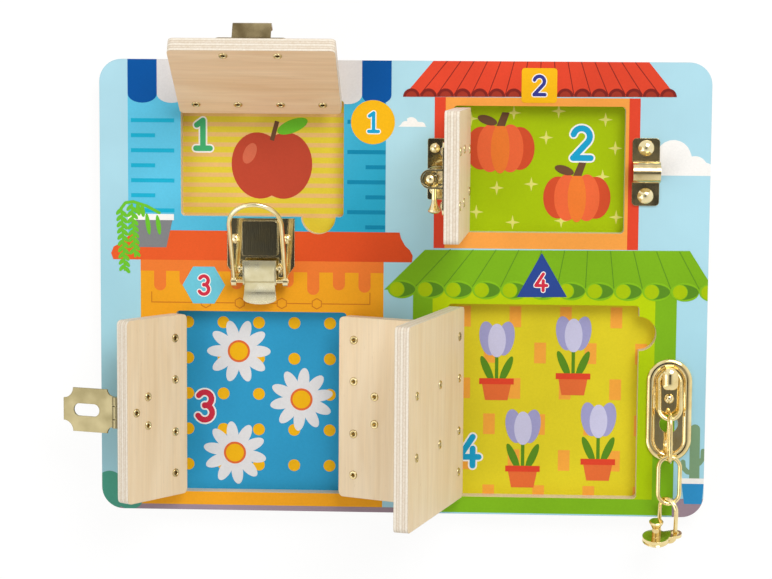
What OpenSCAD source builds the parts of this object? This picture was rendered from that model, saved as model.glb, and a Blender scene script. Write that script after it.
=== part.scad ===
// Wooden latch puzzle board: four picture windows behind hinged plywood doors,
// each held shut by a different brass latch.
// The board lies on its back. X runs to the right, Y up the board, Z out of its front.
// Doors and latches are drawn shut and then swung to the pose in which they rest.

/* [Board] */
// Width of the board
board_w = 300; // [290:1:340]
// Height of the board
board_h = 224.4; // [218:0.2:260]
// Radius of the board's corners
board_r = 11; // [4:0.5:16]
// Thickness of the back panel that carries the pictures
back_t = 4; // [3:0.5:8]
// Thickness of the front panel that the windows are cut in
front_t = 8; // [7.8:0.1:10]

/* [Windows] */
// Centre of window 1 across the board
win1_x = -69.5; // [-72:0.1:-67]
// Centre of window 1 up the board
win1_y = 64; // [62:0.1:68]
// Width of window 1
win1_w = 80.5; // [78:0.1:84]
// Height of window 1
win1_h = 57.5; // [56:0.1:60]
// Centre of window 2 across the board
win2_x = 66.5; // [64:0.1:68]
// Centre of window 2 up the board
win2_y = 59.5; // [56:0.1:64]
// Width of window 2
win2_w = 84; // [80:0.1:86]
// Height of window 2
win2_h = 62; // [58:0.1:66]
// Centre of window 3 across the board
win3_x = -70; // [-72:0.1:-68]
// Centre of window 3 up the board
win3_y = -57.5; // [-59:0.1:-57]
// Width of window 3
win3_w = 85; // [84:0.1:88]
// Height of window 3
win3_h = 91; // [88:0.1:92]
// Centre of window 4 across the board
win4_x = 69.75; // [67:0.05:71]
// Centre of window 4 up the board
win4_y = -55.2; // [-57:0.1:-53]
// Width of window 4
win4_w = 94; // [90:0.1:96]
// Height of window 4
win4_h = 96.5; // [92:0.1:98]
// Radius of a window's corners
win_r = 2; // [1:0.5:4]
// Radius of the finger notches
notch_r = 8.5; // [6:0.5:9]
// Finger notch of window 1, to the right of the window's centre
notch1_x = 27.8; // [24:0.1:29]
// Finger notch of window 4, above the window's centre
notch4_y = 34.3; // [30:0.1:37]

/* [Doors] */
// Thickness of a door
door_t = 6.9; // [6:0.1:7]
// Radius of a door's corners
door_r = 2.5; // [1:0.5:4]
// Gap between a door and the sides of its window
gap_side = 0.75; // [0.5:0.05:1.5]
// Gap between a door's free edge and the window
gap_free = 1.1; // [0.9:0.05:1.6]
// Gap between the two leaves of door 3
gap_mid = 1.2; // [1:0.1:2]
// How far door 1 stands open
open_1 = 123; // [95:1:150]
// How far door 2 stands open
open_2 = 93; // [80:1:115]
// How far the left leaf of door 3 stands open
open_3l = 126; // [100:1:140]
// How far the right leaf of door 3 stands open, resting on its staple
open_3r = 154.5; // [140:0.5:155]
// How far door 4 stands open
open_4 = 105; // [90:1:115]

/* [Sheet metal] */
// Thickness of the pressed brass sheet
sheet_t = 0.9; // [0.7:0.05:1.1]
// Clearance all round a pin in a turning hole
pin_fit = 0.05; // [0.03:0.01:0.1]
// Gap between pieces that pass each other
pass_gap = 0.4; // [0.3:0.05:0.6]

/* [Rivets] */
// Radius of a rivet's domed head
head_r = 2.4; // [2:0.1:2.8]
// Height of the domed head
head_h = 1.3; // [1:0.05:1.5]
// Radius of a rivet's shank
shank_r = 1.25; // [1:0.05:1.5]
// Height of the rolled tail on a door's inner face
tail_h = 0.6; // [0.4:0.05:0.8]
// Wood left under a rivet that ends inside the board
blind_t = 1.2; // [0.8:0.1:2]

/* [Hinges] */
// Length of a hinge
hinge_l = 30; // [26:0.5:34]
// Width of one hinge leaf from the pin's axis
leaf_w = 12.5; // [11.5:0.1:13]
// Radius of the hinge barrel
knuckle_r = 1.6; // [1.5:0.05:1.8]
// Radius of the hinge pin
pin_r = 0.8; // [0.6:0.05:0.9]
// Distance from the pin's axis to the rivets
rivet_off = 9; // [8.2:0.1:9.6]
// Distance between the two rivets of a leaf
rivet_pitch = 20.5; // [18:0.1:22]
// Distance between the two hinges of door 1
hinges_1 = 41.2; // [38:0.1:46]
// Distance between the two hinges of doors 3 and 4
hinges_34 = 46.5; // [42:0.1:54]

/* [Toggle latch] */
// Centre of the toggle latch across the board
latch_x = -70; // [-74:0.5:-66]
// Gap between window 1 and the latch's base plate
latch_gap = 0.8; // [0.5:0.1:1.5]
// Width of the base plate
base_w = 33.4; // [33:0.1:36]
// Length of the base plate
base_l = 32; // [30:0.1:34]
// Width of the raised box
box_w = 17.4; // [16:0.1:18]
// Length of the raised box
box_l = 17.2; // [15:0.1:17.4]
// Height of the raised box
box_h = 7; // [5:0.1:7.4]
// Distance from the base's top edge to the lever's pin
pivot_off = 24.4; // [24:0.1:26]
// Height of the lever's pin above the board
pivot_h = 6; // [5.5:0.1:7]
// Radius of the lever's pin and of the bail's pin
latch_pin_r = 1; // [0.8:0.05:1.2]
// Distance between the lever's two pins
lever_arm = 6.3; // [6:0.1:7]
// Length of the lever's thumb piece past the bail's pin
thumb_l = 11.4; // [9:0.1:13]
// Width of the thumb piece at its neck
thumb_w = 14.7; // [13:0.1:15]
// Width of the thumb piece at its tip
tip_w = 16.4; // [15:0.1:18]
// Length of the bail from its pin to the far edge of its arch
bail_l = 50; // [47:0.1:51]
// Distance between the centres of the bail's two legs
bail_w = 25.4; // [25:0.1:28]
// Radius of the bail's wire
bail_r = 1.1; // [0.9:0.05:1.2]
// How far the bail stands up from the board
bail_up = 36; // [35.5:0.5:60]
// Width of the catch's plate on door 1
catch_w = 34; // [32:0.1:36]
// Width of the catch's hook
hook_w = 18.4; // [16:0.1:19]
// Height of the catch's hook
hook_h = 11.4; // [9:0.1:11.5]
// Distance between the catch's two rivets
catch_pitch = 25.6; // [25:0.1:28]
// Play of the bail behind the hook
bail_play = 1; // [0.8:0.05:2]

/* [Barrel bolt] */
// Centre of the bolt above the centre of window 2
bolt_y = -0.6; // [-3:0.1:3]
// Radius of the bolt
bolt_r = 3.5; // [3:0.1:3.8]
// Radius of the bolt's turned-down tip
bolt_tip_r = 2.3; // [2:0.1:2.6]
// Height of the bolt's axis above the door
bolt_h = 6.4; // [6.2:0.1:7]
// How far the bolt slides
bolt_travel = 14; // [10:0.5:14]
// Length of the bolt's base plate along the bolt
bolt_plate_l = 36; // [34:0.5:40]
// Height of the bolt's plate and of its keeper, across the bolt
bolt_plate_w = 33; // [32:0.5:38]
// Width of each strap that holds the bolt
strap_w = 8; // [6:0.5:8]
// Clearance round the bolt in its straps
bolt_fit = 0.1; // [0.05:0.01:0.2]
// Clearance round the bolt in its keeper
keeper_fit = 0.7; // [0.5:0.1:1]
// Width of the keeper along the bolt
keeper_w = 13.3; // [11:0.1:15]
// Distance from window 2 to the keeper
keeper_gap = 3.4; // [2:0.1:5]
// Distance between the keeper's two rivets
keeper_pitch = 23.4; // [23:0.1:25]
// Radius of the domed heads on the keeper's rivets
keeper_head_r = 3.9; // [3:0.1:4]
// Height of the domed heads on the keeper's rivets
keeper_head_h = 1.9; // [1.6:0.05:2.2]
// Distance between the rivets of the bolt's plate, across the bolt
bolt_pitch = 25; // [24.4:0.1:28]
// Reach of the bolt's knob from the bolt's axis
knob_l = 17.5; // [15:0.5:18.5]
// Radius of the knob's domed end
knob_r = 3; // [2.6:0.1:3.6]

/* [Hasp] */
// Centre of the hasp up the board
hasp_y = -58; // [-62:0.5:-54]
// Radius of the hasp's barrel
hasp_r = 2; // [1.8:0.05:2.2]
// Radius of the hasp's pin
hasp_pin_r = 1; // [0.8:0.05:1.1]
// Length of the hasp's barrel
hasp_neck = 15.2; // [13:0.1:17]
// Width of the hasp's flap and leaf
hasp_w = 21.5; // [20.5:0.1:24]
// Length of the flap from its pin's axis
flap_l = 29.4; // [28.5:0.1:32]
// Radius of the hollow corners of the flap's end
flap_cut = 5.2; // [3:0.1:5.6]
// Length of the slot in the flap
slot_l = 14; // [13:0.1:15]
// Width of the slot in the flap
slot_w = 6.1; // [5.8:0.1:6.6]
// Distance from the pin's axis to the middle of the slot
slot_at = 16.8; // [16:0.1:18]
// Distance from the door's free edge in to the hasp's pin
hasp_in = 1.2; // [1:0.1:1.6]
// How far the flap hangs below the level of the board
flap_droop = 18; // [0:1:24]
// Width of the turning staple's eye, along the slot
eye_w = 11.6; // [10:0.1:11.8]
// Thickness of the turning staple's eye
eye_t = 4.4; // [3.6:0.1:4.8]
// Height of the turning staple above the door
eye_top = 13.2; // [11:0.1:13.3]
// Distance between the staple plate's rivets
staple_pitch = 13.6; // [13:0.1:14]

/* [Door chain] */
// Centre of the chain's plate across the board
chain_x = 132.1; // [130:0.1:135]
// Centre of the chain's plate up the board
chain_y = -58.6; // [-62:0.1:-54]
// Width of the chain's plate
anchor_w = 22.3; // [21:0.1:24]
// Length of the chain's plate
anchor_l = 51; // [50:0.1:54]
// How much longer than wide the tongue's dome is
tongue_l = 3.8; // [2:0.1:4.5]
// Height of the plate's raised rim
rim_h = 2; // [1.6:0.1:2.2]
// Width of the plate's raised rim
rim_w = 4.2; // [3.6:0.1:4.4]
// Radius of the parking hole in the plate
park_r = 4.6; // [4.2:0.1:5]
// Radius of the chain's wire
wire_r = 1.05; // [0.9:0.05:1.1]
// Length of a link over its ends
link_l = 25.4; // [25:0.1:26]
// Width of a link over its sides
link_w = 12.6; // [12:0.1:13]
// Play between two links
link_play = 0.25; // [0.2:0.05:0.4]
// Radius of the plug's disc
plug_r = 6.5; // [5.5:0.1:7]
// Radius of the plug's head
plug_head_r = 3.5; // [3:0.1:3.8]
// Radius of the plug's stem
plug_stem_r = 1.9; // [1.5:0.1:2.1]
// Height of the plug's stem and head
plug_h = 8.5; // [7:0.1:10]
// Distance from the plug's disc to the hole in its tab
plug_tab = 10.5; // [8.8:0.1:11]
// Distance from the hinge of door 4 to the middle of the chain track
track_u = 61.2; // [56:0.1:64]
// Length of the track's plate
track_l = 46; // [44.5:0.1:50]
// Width of the track's plate
track_w = 36; // [35:0.1:40]
// Length of the raised channel
channel_l = 30; // [28:0.1:32]
// Width of the raised channel
channel_w = 16; // [14:0.1:20]
// Height of the raised channel
channel_h = 4.2; // [3.6:0.1:5]
// Width of the channel's slot
track_slot = 4.8; // [4.6:0.1:5.4]
// Distance between the track's rivets along the door's width
track_pitch_u = 38; // [37.4:0.1:40]
// Distance between the track's rivets along the hinge
track_pitch_v = 28.8; // [28:0.1:30]

/* [Hidden] */

$fn = 48;
eps = 0.01;
face_z = back_t + front_t;
brass = "goldenrod";
wood = "burlywood";

// Edges of the windows that hinges and latches line up with
win1_top = win1_y + win1_h / 2;
win1_low = win1_y - win1_h / 2;
win2_left = win2_x - win2_w / 2;
win2_right = win2_x + win2_w / 2;
win3_left = win3_x - win3_w / 2;
win3_right = win3_x + win3_w / 2;
win4_left = win4_x - win4_w / 2;
win4_right = win4_x + win4_w / 2;

// Reach of each door from its hinge axis
reach_1 = win1_h - gap_free;
reach_2 = win2_w - gap_free;
reach_3 = win3_w / 2 - gap_mid / 2;
reach_4 = win4_w - gap_free;

// Toggle latch, measured up the board
base_top = win1_low - latch_gap;
pivot_y = base_top - pivot_off;
bail_y = pivot_y - lever_arm;
bail_inner = bail_l - 2 * bail_r;
hook_rear = win1_top - (bail_y + bail_inner - bail_play);
hook_front = reach_1 - 2.9;
catch_low = reach_1 - 0.7;
catch_top = hook_rear - 1.4;
catch_rivet = reach_1 - 4.4;
latch_on_door = latch_x - win1_x;

// Barrel bolt, measured from the hinge axis of door 2
bolt_end = reach_2 - 1;
bolt_plate_u = reach_2 - 1.5 - bolt_plate_l;
strap_rear = bolt_plate_u + strap_w;
strap_front = bolt_plate_u + bolt_plate_l - strap_w;
collar_w = 4;
collar_u = strap_rear + pass_gap + collar_w / 2;
bolt_back = strap_rear - 5 - bolt_travel;
waist_r = bolt_r - 1.3;
bolt_in = bolt_r + bolt_fit;
keeper_in = bolt_r + keeper_fit;

// Hasp, measured from the hinge axis of its own door leaf
hasp_u = reach_3 - hasp_in;
hasp_back = hasp_u - 17;
hasp_fold = 180 + flap_droop - open_3l;
staple_u = win3_w - hasp_u - slot_at;
flap_z = 2 * hasp_r - sheet_t;
neck_top = flap_z + sheet_t + pass_gap;

// Chain, along its own path
link_c = link_l - 2 * wire_r;
link_half = link_w / 2 - wire_r;
hook_step = 2 * wire_r + link_play;
tilt_1 = -13;
tilt_2 = -5;
tilt_3 = 3;
tilt_4 = 17;
roll_4 = -45;
function down(t) = [0, -cos(t), -sin(t)];
tongue_y = chain_y + anchor_l / 2 - 6.1;
link_1_at = [chain_x, tongue_y, face_z + sheet_t + wire_r + pass_gap];
link_1_end = link_1_at + link_c * down(tilt_1);
link_2_at = link_1_end - hook_step * down(tilt_2);
link_2_end = link_2_at + link_c * down(tilt_2);
link_3_at = link_2_end - hook_step * down(tilt_3);
link_3_end = link_3_at + link_c * down(tilt_3);
link_4_at = link_3_end - hook_step * down(tilt_4);
// The plug's tab is threaded on the last link's right leg, where that leg turns into the end
plug_t = 1.6;
plug_hole_r = wire_r + 0.9;
plug_turn = 20;

// Plan outline with four round corners
module plan(w, h, r) {
  square([w - 2 * r, h], center = true);
  square([w, h - 2 * r], center = true);
  for (x = [-1, 1], y = [-1, 1])
    translate([x * (w / 2 - r), y * (h / 2 - r)])
      circle(r);
}

// Plan outline with half-round ends, lying along Y
module stadium(w, l) {
  square([w, l - w], center = true);
  for (y = [-1, 1])
    translate([0, y * (l - w) / 2])
      circle(w / 2);
}

// Round bar along X
module bar_x(r, l) {
  rotate([0, 90, 0])
    cylinder(r = r, h = l, center = true);
}

// Round bar along Y
module bar_y(r, l) {
  rotate([90, 0, 0])
    cylinder(r = r, h = l, center = true);
}

// Sheet outline in the YZ plane, drawn with X as Y and Y as Z, of a given width along X
module side_sheet(w) {
  rotate([90, 0, 90])
    linear_extrude(w, center = true)
      children();
}

// Each door's own frame: X from the hinge axis across the door, Y along the hinge,
// Z out of the front face, with the door shut
module frame_1() {
  translate([win1_x, win1_top, face_z])
    rotate([0, 0, -90])
      children();
}

module frame_2() {
  translate([win2_left, win2_y, face_z])
    children();
}

module frame_3l() {
  translate([win3_left, win3_y, face_z])
    children();
}

module frame_3r() {
  translate([win3_right, win3_y, face_z])
    rotate([0, 0, 180])
      children();
}

module frame_4() {
  translate([win4_left, win4_y, face_z])
    children();
}

// Turns what is drawn shut about a pin that lies along Y
module swing(angle, u, h) {
  translate([u, 0, h])
    rotate([0, -angle, 0])
      translate([-u, 0, -h])
        children();
}

module opened(angle) {
  swing(angle, 0, knuckle_r)
    children();
}

// Where the hinges of a door sit along its edge
module hinge_places(spread) {
  for (y = spread == 0 ? [0] : [-spread / 2, spread / 2])
    translate([0, y, 0])
      children();
}

module leaf_rivets(u) {
  for (y = [-1, 1])
    translate([u, y * rivet_pitch / 2, 0])
      children();
}

// One leaf of a butt hinge on the side given, with its own barrel parts
module leaf(side, own, other) {
  difference() {
    union() {
      translate([side * leaf_w / 2, 0, 0])
        linear_extrude(sheet_t)
          difference() {
            plan(leaf_w, hinge_l, 1);
          }
      for (y = own)
        translate([0, y[0], knuckle_r])
          bar_y(knuckle_r, y[1]);
      for (y = own)
        translate([side * knuckle_r / 2, y[0], sheet_t / 2])
          cube([knuckle_r, y[1], sheet_t], center = true);
    }
    for (y = other)
      translate([0, y[0], knuckle_r])
        cube([2 * (knuckle_r + pass_gap), y[1], 4 * knuckle_r], center = true);
    translate([0, 0, knuckle_r])
      bar_y(pin_r + pin_fit, hinge_l + 1);
    leaf_rivets(side * rivet_off)
      translate([0, 0, -1])
        cylinder(r = shank_r + pin_fit, h = sheet_t + 2);
  }
}

knuckle_l = hinge_l / 3;
outer_part = knuckle_l - pass_gap / 2;
outer_at = hinge_l / 2 - outer_part / 2;
board_parts = [[-outer_at, outer_part], [outer_at, outer_part]];
door_parts = [[0, knuckle_l - pass_gap]];
board_cuts = [[0, knuckle_l + pass_gap]];
door_cuts = [[-outer_at - 0.5, outer_part + 1 + pass_gap], [outer_at + 0.5, outer_part + 1 + pass_gap]];

module board_leaf() {
  leaf(-1, board_parts, board_cuts);
}

module door_leaf() {
  leaf(1, door_parts, door_cuts);
}

module hinge_pin() {
  translate([0, 0, knuckle_r])
    bar_y(pin_r, hinge_l);
}

// Domed rivet head standing on sheet metal
module rivet_head(r = head_r, h = head_h) {
  sphere_r = (r * r + h * h) / (2 * h);
  translate([0, 0, sheet_t])
    intersection() {
      translate([0, 0, h - sphere_r])
        sphere(sphere_r);
      cylinder(r = r + 1, h = h + 1);
    }
}

// Rivet that ends inside the board
module blind_rivet() {
  rivet_head();
  translate([0, 0, -front_t + blind_t])
    cylinder(r = shank_r, h = front_t - blind_t + sheet_t + eps);
}

// Rivet through a door, with a hollow tail rolled over on the inner face
module door_rivet() {
  rivet_head();
  difference() {
    union() {
      translate([0, 0, -door_t - tail_h / 2])
        cylinder(r = shank_r, h = door_t + tail_h / 2 + sheet_t + eps);
      translate([0, 0, -door_t])
        intersection() {
          rotate_extrude()
            translate([shank_r + tail_h / 2, 0])
              circle(tail_h);
          translate([0, 0, -2 * tail_h])
            cylinder(r = 3 * head_r, h = 2 * tail_h);
        }
    }
    translate([0, 0, -door_t - 2 * tail_h])
      cylinder(r = shank_r - 0.35, h = 2.5 + 2 * tail_h);
  }
}

module blind_hole() {
  translate([0, 0, -front_t + blind_t])
    cylinder(r = shank_r + pin_fit, h = front_t);
}

module door_hole() {
  translate([0, 0, -door_t - 1])
    cylinder(r = shank_r + pin_fit, h = door_t + 2);
}

// Places of every rivet on the board's front
module at_board_rivets() {
  frame_1() hinge_places(hinges_1) leaf_rivets(-rivet_off) children();
  frame_2() leaf_rivets(-rivet_off) children();
  frame_3l() hinge_places(hinges_34) leaf_rivets(-rivet_off) children();
  frame_3r() hinge_places(hinges_34) leaf_rivets(-rivet_off) children();
  frame_4() hinge_places(hinges_34) leaf_rivets(-rivet_off) children();
  at_keeper_rivets() children();
  at_base_rivets() children();
  at_anchor_rivets() children();
}

module at_keeper_rivets() {
  for (y = [-1, 1])
    translate([win2_right + keeper_gap + keeper_w / 2, win2_y + bolt_y + y * keeper_pitch / 2, face_z])
      children();
}

module at_base_rivets() {
  for (x = [-1, 1])
    translate([latch_x + x * (box_w / 2 + base_w / 2) / 2, base_top - 10.2, face_z])
      children();
}

module at_anchor_rivets() {
  for (y = [5.9, -16.7])
    translate([chain_x, chain_y + y, face_z])
      children();
}

module at_catch_rivets() {
  for (y = [-1, 1])
    translate([catch_rivet, latch_on_door + y * catch_pitch / 2, 0])
      children();
}

module at_bolt_rivets() {
  for (u = [strap_rear - strap_w / 2, strap_front + strap_w / 2], y = [-1, 1])
    translate([u, bolt_y + y * bolt_pitch / 2, 0])
      children();
}

module at_hasp_rivets() {
  for (p = [[hasp_u - 12.8, 7.05], [hasp_u - 12.8, -7.05], [hasp_u - 2.9 - hasp_r, 0]])
    translate([p[0], hasp_y - win3_y + p[1], 0])
      children();
}

module at_staple_rivets() {
  for (u = [-1, 1], y = [-1, 1])
    translate([staple_u + u * staple_pitch / 2, win3_y - hasp_y + y * staple_pitch / 2, 0])
      children();
}

module at_track_rivets() {
  for (u = [-1, 1], y = [-1, 1])
    translate([track_u + u * track_pitch_u / 2, y * track_pitch_v / 2, 0])
      children();
}

// Board

module back_panel() {
  color(wood)
    linear_extrude(back_t)
      plan(board_w, board_h, board_r);
}

module front_panel() {
  color("skyblue")
    difference() {
      translate([0, 0, back_t])
        linear_extrude(front_t)
          difference() {
            plan(board_w, board_h, board_r);
            translate([win1_x, win1_y]) plan(win1_w, win1_h, win_r);
            translate([win2_x, win2_y]) plan(win2_w, win2_h, win_r);
            translate([win3_x, win3_y]) plan(win3_w, win3_h, win_r);
            translate([win4_x, win4_y]) plan(win4_w, win4_h, win_r);
            translate([win1_x + notch1_x, win1_low]) circle(notch_r);
            translate([win4_right, win4_y + notch4_y]) circle(notch_r);
          }
      at_board_rivets() blind_hole();
    }
}

module board_rivets() {
  color(brass)
    union() {
      at_board_rivets() blind_rivet();
      at_keeper_rivets() rivet_head(keeper_head_r, keeper_head_h);
    }
}

// Hinges

module hinge_1_board_leaves() {
  color(brass) frame_1() hinge_places(hinges_1) board_leaf();
}

module hinge_1_pins() {
  color(brass) frame_1() hinge_places(hinges_1) hinge_pin();
}

module hinge_1_door_leaves() {
  color(brass) frame_1() opened(open_1) hinge_places(hinges_1) door_leaf();
}

module hinge_2_board_leaf() {
  color(brass) frame_2() board_leaf();
}

module hinge_2_pin() {
  color(brass) frame_2() hinge_pin();
}

module hinge_2_door_leaf() {
  color(brass) frame_2() opened(open_2) door_leaf();
}

module hinge_3l_board_leaves() {
  color(brass) frame_3l() hinge_places(hinges_34) board_leaf();
}

module hinge_3l_pins() {
  color(brass) frame_3l() hinge_places(hinges_34) hinge_pin();
}

module hinge_3l_door_leaves() {
  color(brass) frame_3l() opened(open_3l) hinge_places(hinges_34) door_leaf();
}

module hinge_3r_board_leaves() {
  color(brass) frame_3r() hinge_places(hinges_34) board_leaf();
}

module hinge_3r_pins() {
  color(brass) frame_3r() hinge_places(hinges_34) hinge_pin();
}

module hinge_3r_door_leaves() {
  color(brass) frame_3r() opened(open_3r) hinge_places(hinges_34) door_leaf();
}

module hinge_4_board_leaves() {
  color(brass) frame_4() hinge_places(hinges_34) board_leaf();
}

module hinge_4_pins() {
  color(brass) frame_4() hinge_places(hinges_34) hinge_pin();
}

module hinge_4_door_leaves() {
  color(brass) frame_4() opened(open_4) hinge_places(hinges_34) door_leaf();
}

// Doors

module door_panel(reach, height) {
  translate([(gap_side + reach) / 2, 0, -door_t])
    linear_extrude(door_t)
      plan(reach - gap_side, height - 2 * gap_side, door_r);
}

module door_1() {
  color(wood)
    frame_1() opened(open_1)
      difference() {
        door_panel(reach_1, win1_w);
        hinge_places(hinges_1) leaf_rivets(rivet_off) door_hole();
        at_catch_rivets() door_hole();
      }
}

module door_1_rivets() {
  color(brass)
    frame_1() opened(open_1) {
      hinge_places(hinges_1) leaf_rivets(rivet_off) door_rivet();
      at_catch_rivets() door_rivet();
    }
}

module door_2() {
  color(wood)
    frame_2() opened(open_2)
      difference() {
        door_panel(reach_2, win2_h);
        leaf_rivets(rivet_off) door_hole();
        at_bolt_rivets() door_hole();
      }
}

module door_2_rivets() {
  color(brass)
    frame_2() opened(open_2) {
      leaf_rivets(rivet_off) door_rivet();
      at_bolt_rivets() door_rivet();
    }
}

module door_3_left() {
  color(wood)
    frame_3l() opened(open_3l)
      difference() {
        door_panel(reach_3, win3_h);
        hinge_places(hinges_34) leaf_rivets(rivet_off) door_hole();
        at_hasp_rivets() door_hole();
      }
}

module door_3l_rivets() {
  color(brass)
    frame_3l() opened(open_3l) {
      hinge_places(hinges_34) leaf_rivets(rivet_off) door_rivet();
      at_hasp_rivets() door_rivet();
    }
}

module door_3_right() {
  color(wood)
    frame_3r() opened(open_3r)
      difference() {
        door_panel(reach_3, win3_h);
        hinge_places(hinges_34) leaf_rivets(rivet_off) door_hole();
        at_staple_rivets() door_hole();
      }
}

module door_3r_rivets() {
  color(brass)
    frame_3r() opened(open_3r) {
      hinge_places(hinges_34) leaf_rivets(rivet_off) door_rivet();
      at_staple_rivets() door_rivet();
    }
}

module door_4() {
  color(wood)
    frame_4() opened(open_4)
      difference() {
        door_panel(reach_4, win4_h);
        hinge_places(hinges_34) leaf_rivets(rivet_off) door_hole();
        at_track_rivets() door_hole();
      }
}

module door_4_rivets() {
  color(brass)
    frame_4() opened(open_4) {
      hinge_places(hinges_34) leaf_rivets(rivet_off) door_rivet();
      at_track_rivets() door_rivet();
    }
}

// Toggle latch

// Lever and bail turn about bars along X, at a height up the board and above its front
module latch_frame(y, h, angle) {
  translate([latch_x, y, face_z + h])
    rotate([angle, 0, 0])
      children();
}

ear_t = sheet_t;
ear_at = box_w / 2 + 1.2;
lever_ear = thumb_w / 2 + ear_t / 2;

module toggle_base() {
  cut = 6;
  color(brass)
    difference() {
      translate([latch_x, 0, face_z]) {
        linear_extrude(sheet_t)
          polygon([
            [-base_w / 2, base_top], [base_w / 2, base_top],
            [base_w / 2, base_top - base_l + 1.4 * cut], [base_w / 2 - cut, base_top - base_l],
            [-base_w / 2 + cut, base_top - base_l], [-base_w / 2, base_top - base_l + 1.4 * cut]
          ]);
        translate([0, base_top - 1 - box_l / 2, 0])
          difference() {
            linear_extrude(box_h) plan(box_w, box_l, 1.2);
            translate([0, -sheet_t, -sheet_t])
              linear_extrude(box_h) plan(box_w - 2 * sheet_t, box_l, 0.6);
          }
        for (x = [-1, 1])
          translate([x * ear_at, 0, 0])
            side_sheet(ear_t) {
              translate([pivot_y, pivot_h]) circle(2.4);
              translate([pivot_y - 2.4, 0]) square([4.8, pivot_h]);
              translate([pivot_y - 3.6, 0]) square([7.2, 2.4]);
            }
      }
      latch_frame(pivot_y, pivot_h, 0) bar_x(latch_pin_r + pin_fit, base_w);
      at_base_rivets() translate([0, 0, -1]) cylinder(r = shank_r + pin_fit, h = sheet_t + 2);
    }
}

module toggle_lever_pin() {
  color(brass)
    latch_frame(pivot_y, pivot_h, 0) bar_x(latch_pin_r, 2 * ear_at + ear_t + 1.2);
}

// Height of the thumb piece's middle surface over its length, from the bridge to the tip
function thumb_z(s) = 2.8 - 3.4 * pow(sin(min(s, 0.72) / 0.72 * 90), 2) + 6 * pow(max(s - 0.72, 0), 1.3);

module thumb_side() {
  n = 26;
  run = lever_arm + thumb_l + 2;
  top = [for (i = [0 : n]) [2 - run * i / n, thumb_z(i / n) + sheet_t / 2]];
  low = [for (i = [n : -1 : 0]) [2 - run * i / n, thumb_z(i / n) - sheet_t / 2]];
  polygon(concat(top, low));
}

// Plan of the thumb piece: a waisted tongue with a round tip
module thumb_plan() {
  tip = -lever_arm - thumb_l;
  n = 20;
  waist = [for (i = [0 : n]) [thumb_w / 2 + (tip_w - thumb_w) / 2 * pow(i / n, 4), 5 + (tip + 2.6 - 5) * i / n]];
  round_tip = [for (i = [1 : n - 1]) [tip_w / 2 * cos(i * 180 / n), tip + 2.6 - 2.6 * sin(i * 180 / n)]];
  other = [for (i = [n : -1 : 0]) [-waist[i][0], waist[i][1]]];
  polygon(concat(waist, round_tip, other));
}

module toggle_lever() {
  color(brass)
    latch_frame(pivot_y, pivot_h, 0)
      difference() {
        union() {
          intersection() {
            side_sheet(tip_w + 2) thumb_side();
            translate([0, 0, -10]) linear_extrude(20) thumb_plan();
          }
          translate([0, 3, 2.8])
            cube([2 * lever_ear + ear_t, 2.2, sheet_t], center = true);
          for (x = [-1, 1])
            translate([x * lever_ear, 0, 0])
              side_sheet(ear_t) {
                circle(2);
                translate([-lever_arm, 0]) circle(2);
                translate([-lever_arm, -2]) square([lever_arm, 4]);
                translate([-2, 0]) square([6.1, 2.8 + sheet_t / 2]);
              }
        }
        bar_x(latch_pin_r + pin_fit, base_w);
        translate([0, -lever_arm, 0]) bar_x(latch_pin_r + pin_fit, base_w);
      }
}

module toggle_bail_pin() {
  color(brass)
    latch_frame(bail_y, pivot_h, 0) bar_x(latch_pin_r, bail_w + 2 * bail_r + 1);
}

module toggle_bail() {
  leg = bail_l - bail_r - bail_w / 2;
  color(brass)
    latch_frame(bail_y, pivot_h, bail_up)
      difference() {
        union() {
          for (x = [-1, 1])
            translate([x * bail_w / 2, leg / 2, 0]) bar_y(bail_r, leg + eps);
          translate([0, leg, 0])
            rotate_extrude(angle = 180)
              translate([bail_w / 2, 0]) circle(bail_r, $fn = 24);
          for (x = [-1, 1])
            translate([x * bail_w / 2, 0, 0]) bar_x(2.5, 2 * bail_r + 0.3);
        }
        bar_x(latch_pin_r + pin_fit, 2 * base_w);
      }
}

// Catch on door 1: a folded hook that the bail drops behind
module toggle_catch() {
  lip = 2.4;
  hook_d = hook_front - hook_rear;
  arch_r = bail_w / 2 - bail_r - bail_play;
  color(brass)
    frame_1() opened(open_1)
      difference() {
        translate([0, latch_on_door, 0]) {
          translate([(catch_low + catch_top) / 2, 0, 0])
            linear_extrude(sheet_t) plan(catch_low - catch_top, catch_w, 2);
          intersection() {
            translate([hook_rear + hook_d / 2, 0, 0])
              rotate([90, 0, 0])
                linear_extrude(hook_w, center = true)
                  difference() {
                    union() {
                      translate([0, hook_h / 2]) plan(hook_d, hook_h, 1.8);
                      translate([-hook_d / 2, 0]) square([1.8, 1.8]);
                    }
                    translate([0, hook_h / 2]) plan(hook_d - 2 * sheet_t, hook_h - 2 * sheet_t, 1);
                    translate([-hook_d / 2 + sheet_t, -1]) square([hook_d, 1 + lip]);
                  }
            // The round end that lets the bail's arch drop behind the hook
            translate([hook_rear + arch_r, 0, -1]) {
              cylinder(r = arch_r, h = hook_h + 2);
              translate([0, -arch_r, 0]) cube([hook_d, 2 * arch_r, hook_h + 2]);
            }
          }
        }
        at_catch_rivets() translate([0, 0, -1]) cylinder(r = shank_r + pin_fit, h = sheet_t + 2);
      }
}

// Barrel bolt

// Section of an arched strap over the bolt, drawn across the bolt
module strap_section(inner) {
  difference() {
    union() {
      translate([0, bolt_h]) circle(inner + sheet_t);
      translate([-inner - sheet_t, 0]) square([2 * (inner + sheet_t), bolt_h]);
    }
    translate([0, bolt_h]) circle(inner);
    translate([-inner, -1]) square([2 * inner, bolt_h + 1]);
  }
}

// The strap's section swept along X from u to u + w
module strap(u, w, inner) {
  translate([u + w / 2, 0, 0])
    side_sheet(w) strap_section(inner);
}

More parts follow.
